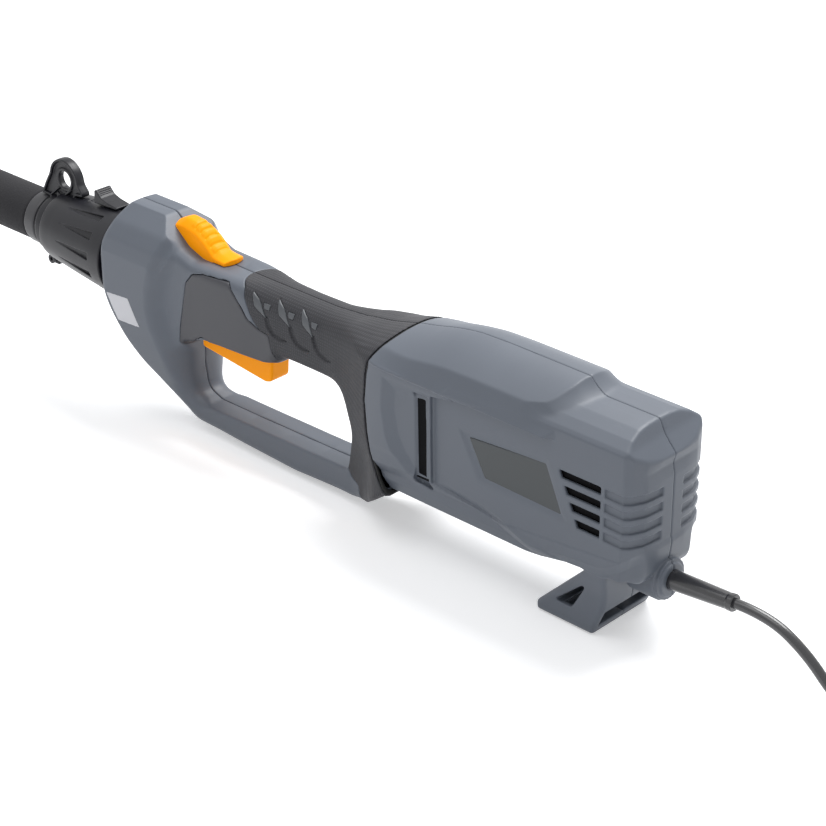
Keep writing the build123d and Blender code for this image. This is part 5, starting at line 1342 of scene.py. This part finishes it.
# ---------------------------------------------------------------- front end
@dataclass
class FrontEnd:
    """Collar with its slider, strap clamp and the ring behind the foam."""

    step: float = 0.5
    cone: tuple = (
        (-541, 25.2), (-538.5, 26.8), (-525, 28.6), (-508, 30.4), (-488, 32.4), (-470, 34.0), (-459, 34.6),
    )
    bore: float = 21.6
    slot_half: float = 3.1  # of the slider's slot
    slot_floor: float = 145.4
    slider_ribs: int = 4
    rib_pitch: float = 1.55
    band_r: float = 23.6
    step_r: float = 22.0
    web_half: float = 1.5  # of the eye's plate
    rim_half: float = 3.9
    rim_width: float = 2.1
    flute_ends: tuple[float, float] = (-515, -473.0)
    flute_angles: tuple = (30.0, 57.2, 84.4, 111.6, 138.8, 166.0)
    eye: tuple[float, float, float] = (-533.6, 155.4, 7.0)  # x, height and radius of the hole
    eye_r: float = 16.9
    clamp_bore: float = 18.1
    screw: tuple[float, float, float] = (-546.9, 87.7, 2.05)  # the same of the clamp screw's hole
    ring_r: float = 21.3
    ring_bore: float = 13.55
    eye_line: tuple = (
        (-562, 137.8, 1), (-556.4, 148.5, 6), (-550.0, 158.5, 0), (-518.8, 158.5, 0), (-511.4, 149.6, 3),
        (-511.6, 146.7, 1.5), (-541.2, 144.8, 0), (-541.2, 136, 0), (-551, 136, 0), (-553, 137.6, 0),
    )
    slider_line: tuple = (
        (-492.6, 149.2), (-492.2, 159.6, 0.8), (-490.0, 160.4, 1), (-484.8, 155.2, 3), (-478, 153.2, 4),
        (-467.0, 151.8, 0.5), (-467.0, 150.2),
    )

    def collar(self) -> None:
        """Makes the fluted collar with the slot of its slider."""
        grid = Grid((-543, -36, 79), (-457, 36, 152), self.step)
        x, w, z = grid.x, grid.w, grid.z
        reach = grid.reach()
        body = trim((reach - through(x, self.cone)) * 0.99, np.maximum(-540.7 - x, x + 459.0), 1.0)
        angle = np.degrees(np.arctan2(w, z - AXIS_Z))
        first, last = self.flute_ends
        widening = np.clip((x - first) / (last - first), 0, 1)
        for middle in self.flute_angles:
            off = np.abs(angle - middle) * (pi / 180) * reach
            flute = shared(off - (0.2 + 2.7 * widening), x - last, first - x)
            body = carve(body, np.maximum(flute, -(body + (0.3 + 2.2 * widening))), 0.3)
        slot = shared(w - self.slot_half, -505 - x, self.slot_floor - z)
        body = carve(body, slot, 0.4)
        body = np.maximum(body, self.bore - reach)
        moulded("turning_collar", grid, body, BLACK, "collar_body", ("collar",), share=0.35)

    def slider(self) -> None:
        """Makes the ribbed slider."""
        grid = Grid((-497, -9, 144), (-464, 9, 164), 0.4)
        x, w, z = grid.x, grid.w, grid.z
        side = outline(x, z, self.slider_line)
        body = trim(side, w - (7.3 + (x + 491) * -0.02), 0.6)
        along = (x + 489.8) * 0.66 - (z - 161) * 0.75
        for row in range(self.slider_ribs):
            line = shared(np.abs(along - 1.4 - self.rib_pitch * row) - 0.28, -(body + 0.35), w - 5.4)
            body = carve(body, line, 0.1)
        tongue = shared(w - 2.7, slab(z, 147.8, 2.0), slab(x, -479, 9.5))
        body = np.minimum(body, tongue)
        moulded("collar_slider", grid, body, BLACK, "slider", ("slider_lock",), share=0.6)

    def clamp(self) -> None:
        """Makes the strap clamp: stepped band, ribbed eye plate and the ears of its screw."""
        grid = Grid((-564, -26, 80), (-508, 26, 173), self.step)
        x, w, z = grid.x, grid.w, grid.z
        reach = grid.reach()
        band = trim(reach - self.band_r, slab(x, -545.1, 3.5), 0.8)
        band = join(band, trim(reach - self.step_r, slab(x, -546.4, 4.8), 0.5), 0.3)
        centre = np.hypot(x - self.eye[0], z - self.eye[1])
        plate = join(outline(x, z, self.eye_line), centre - self.eye_r, 1.0)
        hole = centre - self.eye[2]
        web = np.maximum(plate, w - self.web_half)
        rim = trim(layer(plate, 0, self.rim_width), w - self.rim_half, 0.6)
        boss = trim(hole - 2.6, w - 2.8, 0.5)
        ribs = np.full_like(plate, 99.0)
        for a, b in (((-541, 148), (-553, 138)), ((-528, 148), (-534, 143))):
            stroke = outline(x, z, [a, (a[0] + 1.6, a[1]), (b[0] + 1.6, b[1]), b])
            ribs = np.minimum(ribs, stroke)
        ribs = trim(np.maximum(ribs - 0.2, plate), w - 3.6, 0.4)
        eye = join(join(join(web, rim, 0.6), boss, 0.6), ribs, 0.5)
        eye = carve(eye, hole, 0.8)
        body = join(band, eye, 0.8)
        ears = trim(trim(w - 8.0, slab(x, -547, 5.4), 0.8), slab(z, 90.5, 7.6), 1.2)
        body = join(body, ears, 1.2)
        body = carve(body, np.maximum(w - 1.1, z - 100), 0.2)
        body = np.maximum(body, self.clamp_bore - reach)
        body = carve(body, np.hypot(x - self.screw[0], z - self.screw[1]) - self.screw[2], 0.1)
        moulded("strap_eye", grid, body, BLACK, replaced=("strap_clamp",), share=0.4)

    def ring(self) -> None:
        """Makes the smooth ring between the foam and the clamp."""
        grid = Grid((-568, -23, 92), (-550, 23, 139), self.step)
        reach = grid.reach()
        body = trim(reach - self.ring_r, slab(grid.x, -559.6, 6.1), 1.6)
        body = join(body, shared(reach - 17.4, slab(grid.x, -558.9, 7.0)), 0.2)
        body = np.maximum(body, self.ring_bore - reach)
        moulded("pole_ring", grid, body, RING, replaced=("pole_ferrule",), share=0.3)

    def build(self) -> None:
        """Makes all four."""
        self.collar()
        self.slider()
        self.clamp()
        self.ring()


# ---------------------------------------------------------------- cord
@dataclass
class MainsCord:
    """Short mains lead with its plug."""

    radius: float = 3.55
    length: float = 0.330
    boot_end: tuple[float, float, float] = (112.0, 0.0, 49.8)
    route: tuple = (
        (112.0, 0, 49.8), (137, 0, 51.4), (166, 0, 38), (190, 0, 16), (214, 1, 3.8), (241, 6, 3.8),
        (265, 20, 3.8), (278, 44, 3.8), (278, 71, 3.8), (264, 94, 3.8), (241, 107, 4.0), (213, 110, 8),
        (186, 110.5, 13.0),
    )

    def build(self) -> None:
        """Makes the cord along its route in place of the CAD cord."""
        curve = bpy.data.curves.new("mains_lead", "CURVE")
        curve.dimensions = "3D"
        curve.bevel_depth = self.radius * MM
        curve.bevel_resolution = 6
        curve.resolution_u = 12
        curve.use_fill_caps = True
        spline = curve.splines.new("NURBS")
        spline.points.add(len(self.route) - 1)
        for point, place in zip(spline.points, self.route):
            point.co = (*(v * MM for v in place), 1.0)
        spline.order_u = 3
        spline.use_endpoint_u = True
        cord = add_object("mains_lead", curve)
        cord.data.materials.append(CORD.material())
        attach(cord, "power_unit")
        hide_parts("mains_cord")


# ---------------------------------------------------------------- the scene
@dataclass(frozen=True)
class Lamp:
    """A soft square lamp; places and size in metres, power in watts."""

    name: str
    place: tuple[float, float, float]
    size: float
    power: float
    target: tuple[float, float, float] = (-0.2, 0.0, 0.1)

    def build(self) -> None:
        """Hangs the lamp up and aims it."""
        data = bpy.data.lights.new(self.name, "AREA")
        data.size = self.size
        data.energy = self.power
        lamp = add_object(self.name, data)
        lamp.location = self.place
        aim(lamp, Vector(self.target) - lamp.location)


@dataclass
class Studio:
    """Camera, floor and lamps."""

    azimuth: float = 43.5
    elevation: float = 27.6
    lens: float = 100.24
    target: tuple[float, float, float] = (-0.165, 0.0, 0.084)
    distance: float = 1.5862
    floor_half: float = 3.4
    floor_middle: tuple[float, float, float] = (-0.8, 0, -0.0006)
    floor_glow: float = 0.42
    ambient: float = 0.44
    lamps: tuple[Lamp, ...] = (
        Lamp("key", (-0.2, 1.0, 1.95), 1.3, 49.0),
        Lamp("fill", (-0.5, -0.7, 2.0), 1.4, 11.5),
    )

    def camera(self) -> None:
        """Sets the camera up on the left, behind the tool and above it."""
        a, e = radians(self.azimuth), radians(self.elevation)
        back = Vector((sin(a) * cos(e), -cos(a) * cos(e), sin(e)))
        data = bpy.data.cameras.new("view")
        data.sensor_width = 36.0
        data.lens = self.lens
        camera = add_object("view", data)
        camera.location = Vector(self.target) + back * self.distance
        aim(camera, -back)
        bpy.context.scene.camera = camera

    def floor(self) -> None:
        """Adds a pale floor that shows white and keeps the shadow."""
        mesh = bpy.data.meshes.new("floor")
        far = self.floor_half
        corners = [(-far, -far, 0), (far, -far, 0), (far, far, 0), (-far, far, 0)]
        mesh.from_pydata(corners, [], [range(4)])
        floor = add_object("floor", mesh)
        floor.location = self.floor_middle
        shader = Shader("floor_white")
        shader.set(Base_Color=(0.86, 0.865, 0.875, 1.0), Roughness=0.6, Specular_IOR_Level=0.2)
        glow = shader.blend(self.seen(shader.tree), (0, 0, 0), (1, 1, 1))
        shader.set(Emission_Color=glow, Emission_Strength=self.floor_glow)
        mesh.materials.append(shader.material)

    @staticmethod
    def seen(tree: bpy.types.NodeTree) -> Wire:
        """Tells what the camera sees from what only lights the scene.

        Args:
            tree: the tree that asks.

        Returns:
            1 for what is seen straight, mirrored or through something clear.
        """
        kinds = ("Camera", "Glossy", "Transmission")
        rays = [Shader.add(tree, "ShaderNodeLightPath", {}, {}, f"Is {kind} Ray") for kind in kinds]
        return (rays[0] + rays[1]).maths("ADD", rays[2], clamp=True)

    def world(self) -> None:
        """Lights everything softly, and shows white behind."""
        world = bpy.data.worlds.new("studio")
        bpy.context.scene.world = world
        world.use_nodes = True
        tree = world.node_tree
        tree.nodes.clear()
        out = tree.nodes.new("ShaderNodeOutputWorld")
        seen = self.seen(tree)
        light = Shader.add(tree, "ShaderNodeBackground", {}, {0: (0.97, 0.98, 1.0, 1), 1: self.ambient})
        white = Shader.add(tree, "ShaderNodeBackground", {}, {0: (1, 1, 1, 1), 1: 1.0})
        mixed = Shader.add(tree, "ShaderNodeMixShader", {}, {0: seen, 1: light, 2: white})
        tree.links.new(mixed.socket, out.inputs[0])

    def build(self) -> None:
        """Sets up everything that isn't the tool."""
        self.camera()
        self.floor()
        self.world()
        for lamp in self.lamps:
            lamp.build()
        bpy.context.scene.view_settings.view_transform = "Standard"


def dress_cad() -> None:
    """Gives every CAD node the finish of its slot."""
    slots = {one["node"]: one["material_slot"] for one in frame["record"]["subparts"]}
    for name, node in frame["nodes"].items():
        finish = DARK_SCREW if name == "clamp_screw" else SLOT_FINISH[slots[name]]
        node.data.materials.clear()
        node.data.materials.append(finish.material())


def main() -> None:
    """Builds the scene in order."""
    logging.basicConfig(level=logging.INFO, format="%(name)s: %(message)s")
    Studio().build()
    MainsCord().build()
    dress_cad()
    MotorHousing().build()
    Handle().build()
    Controls().build()
    FrontEnd().build()


if __name__ == "__main__":
    main()
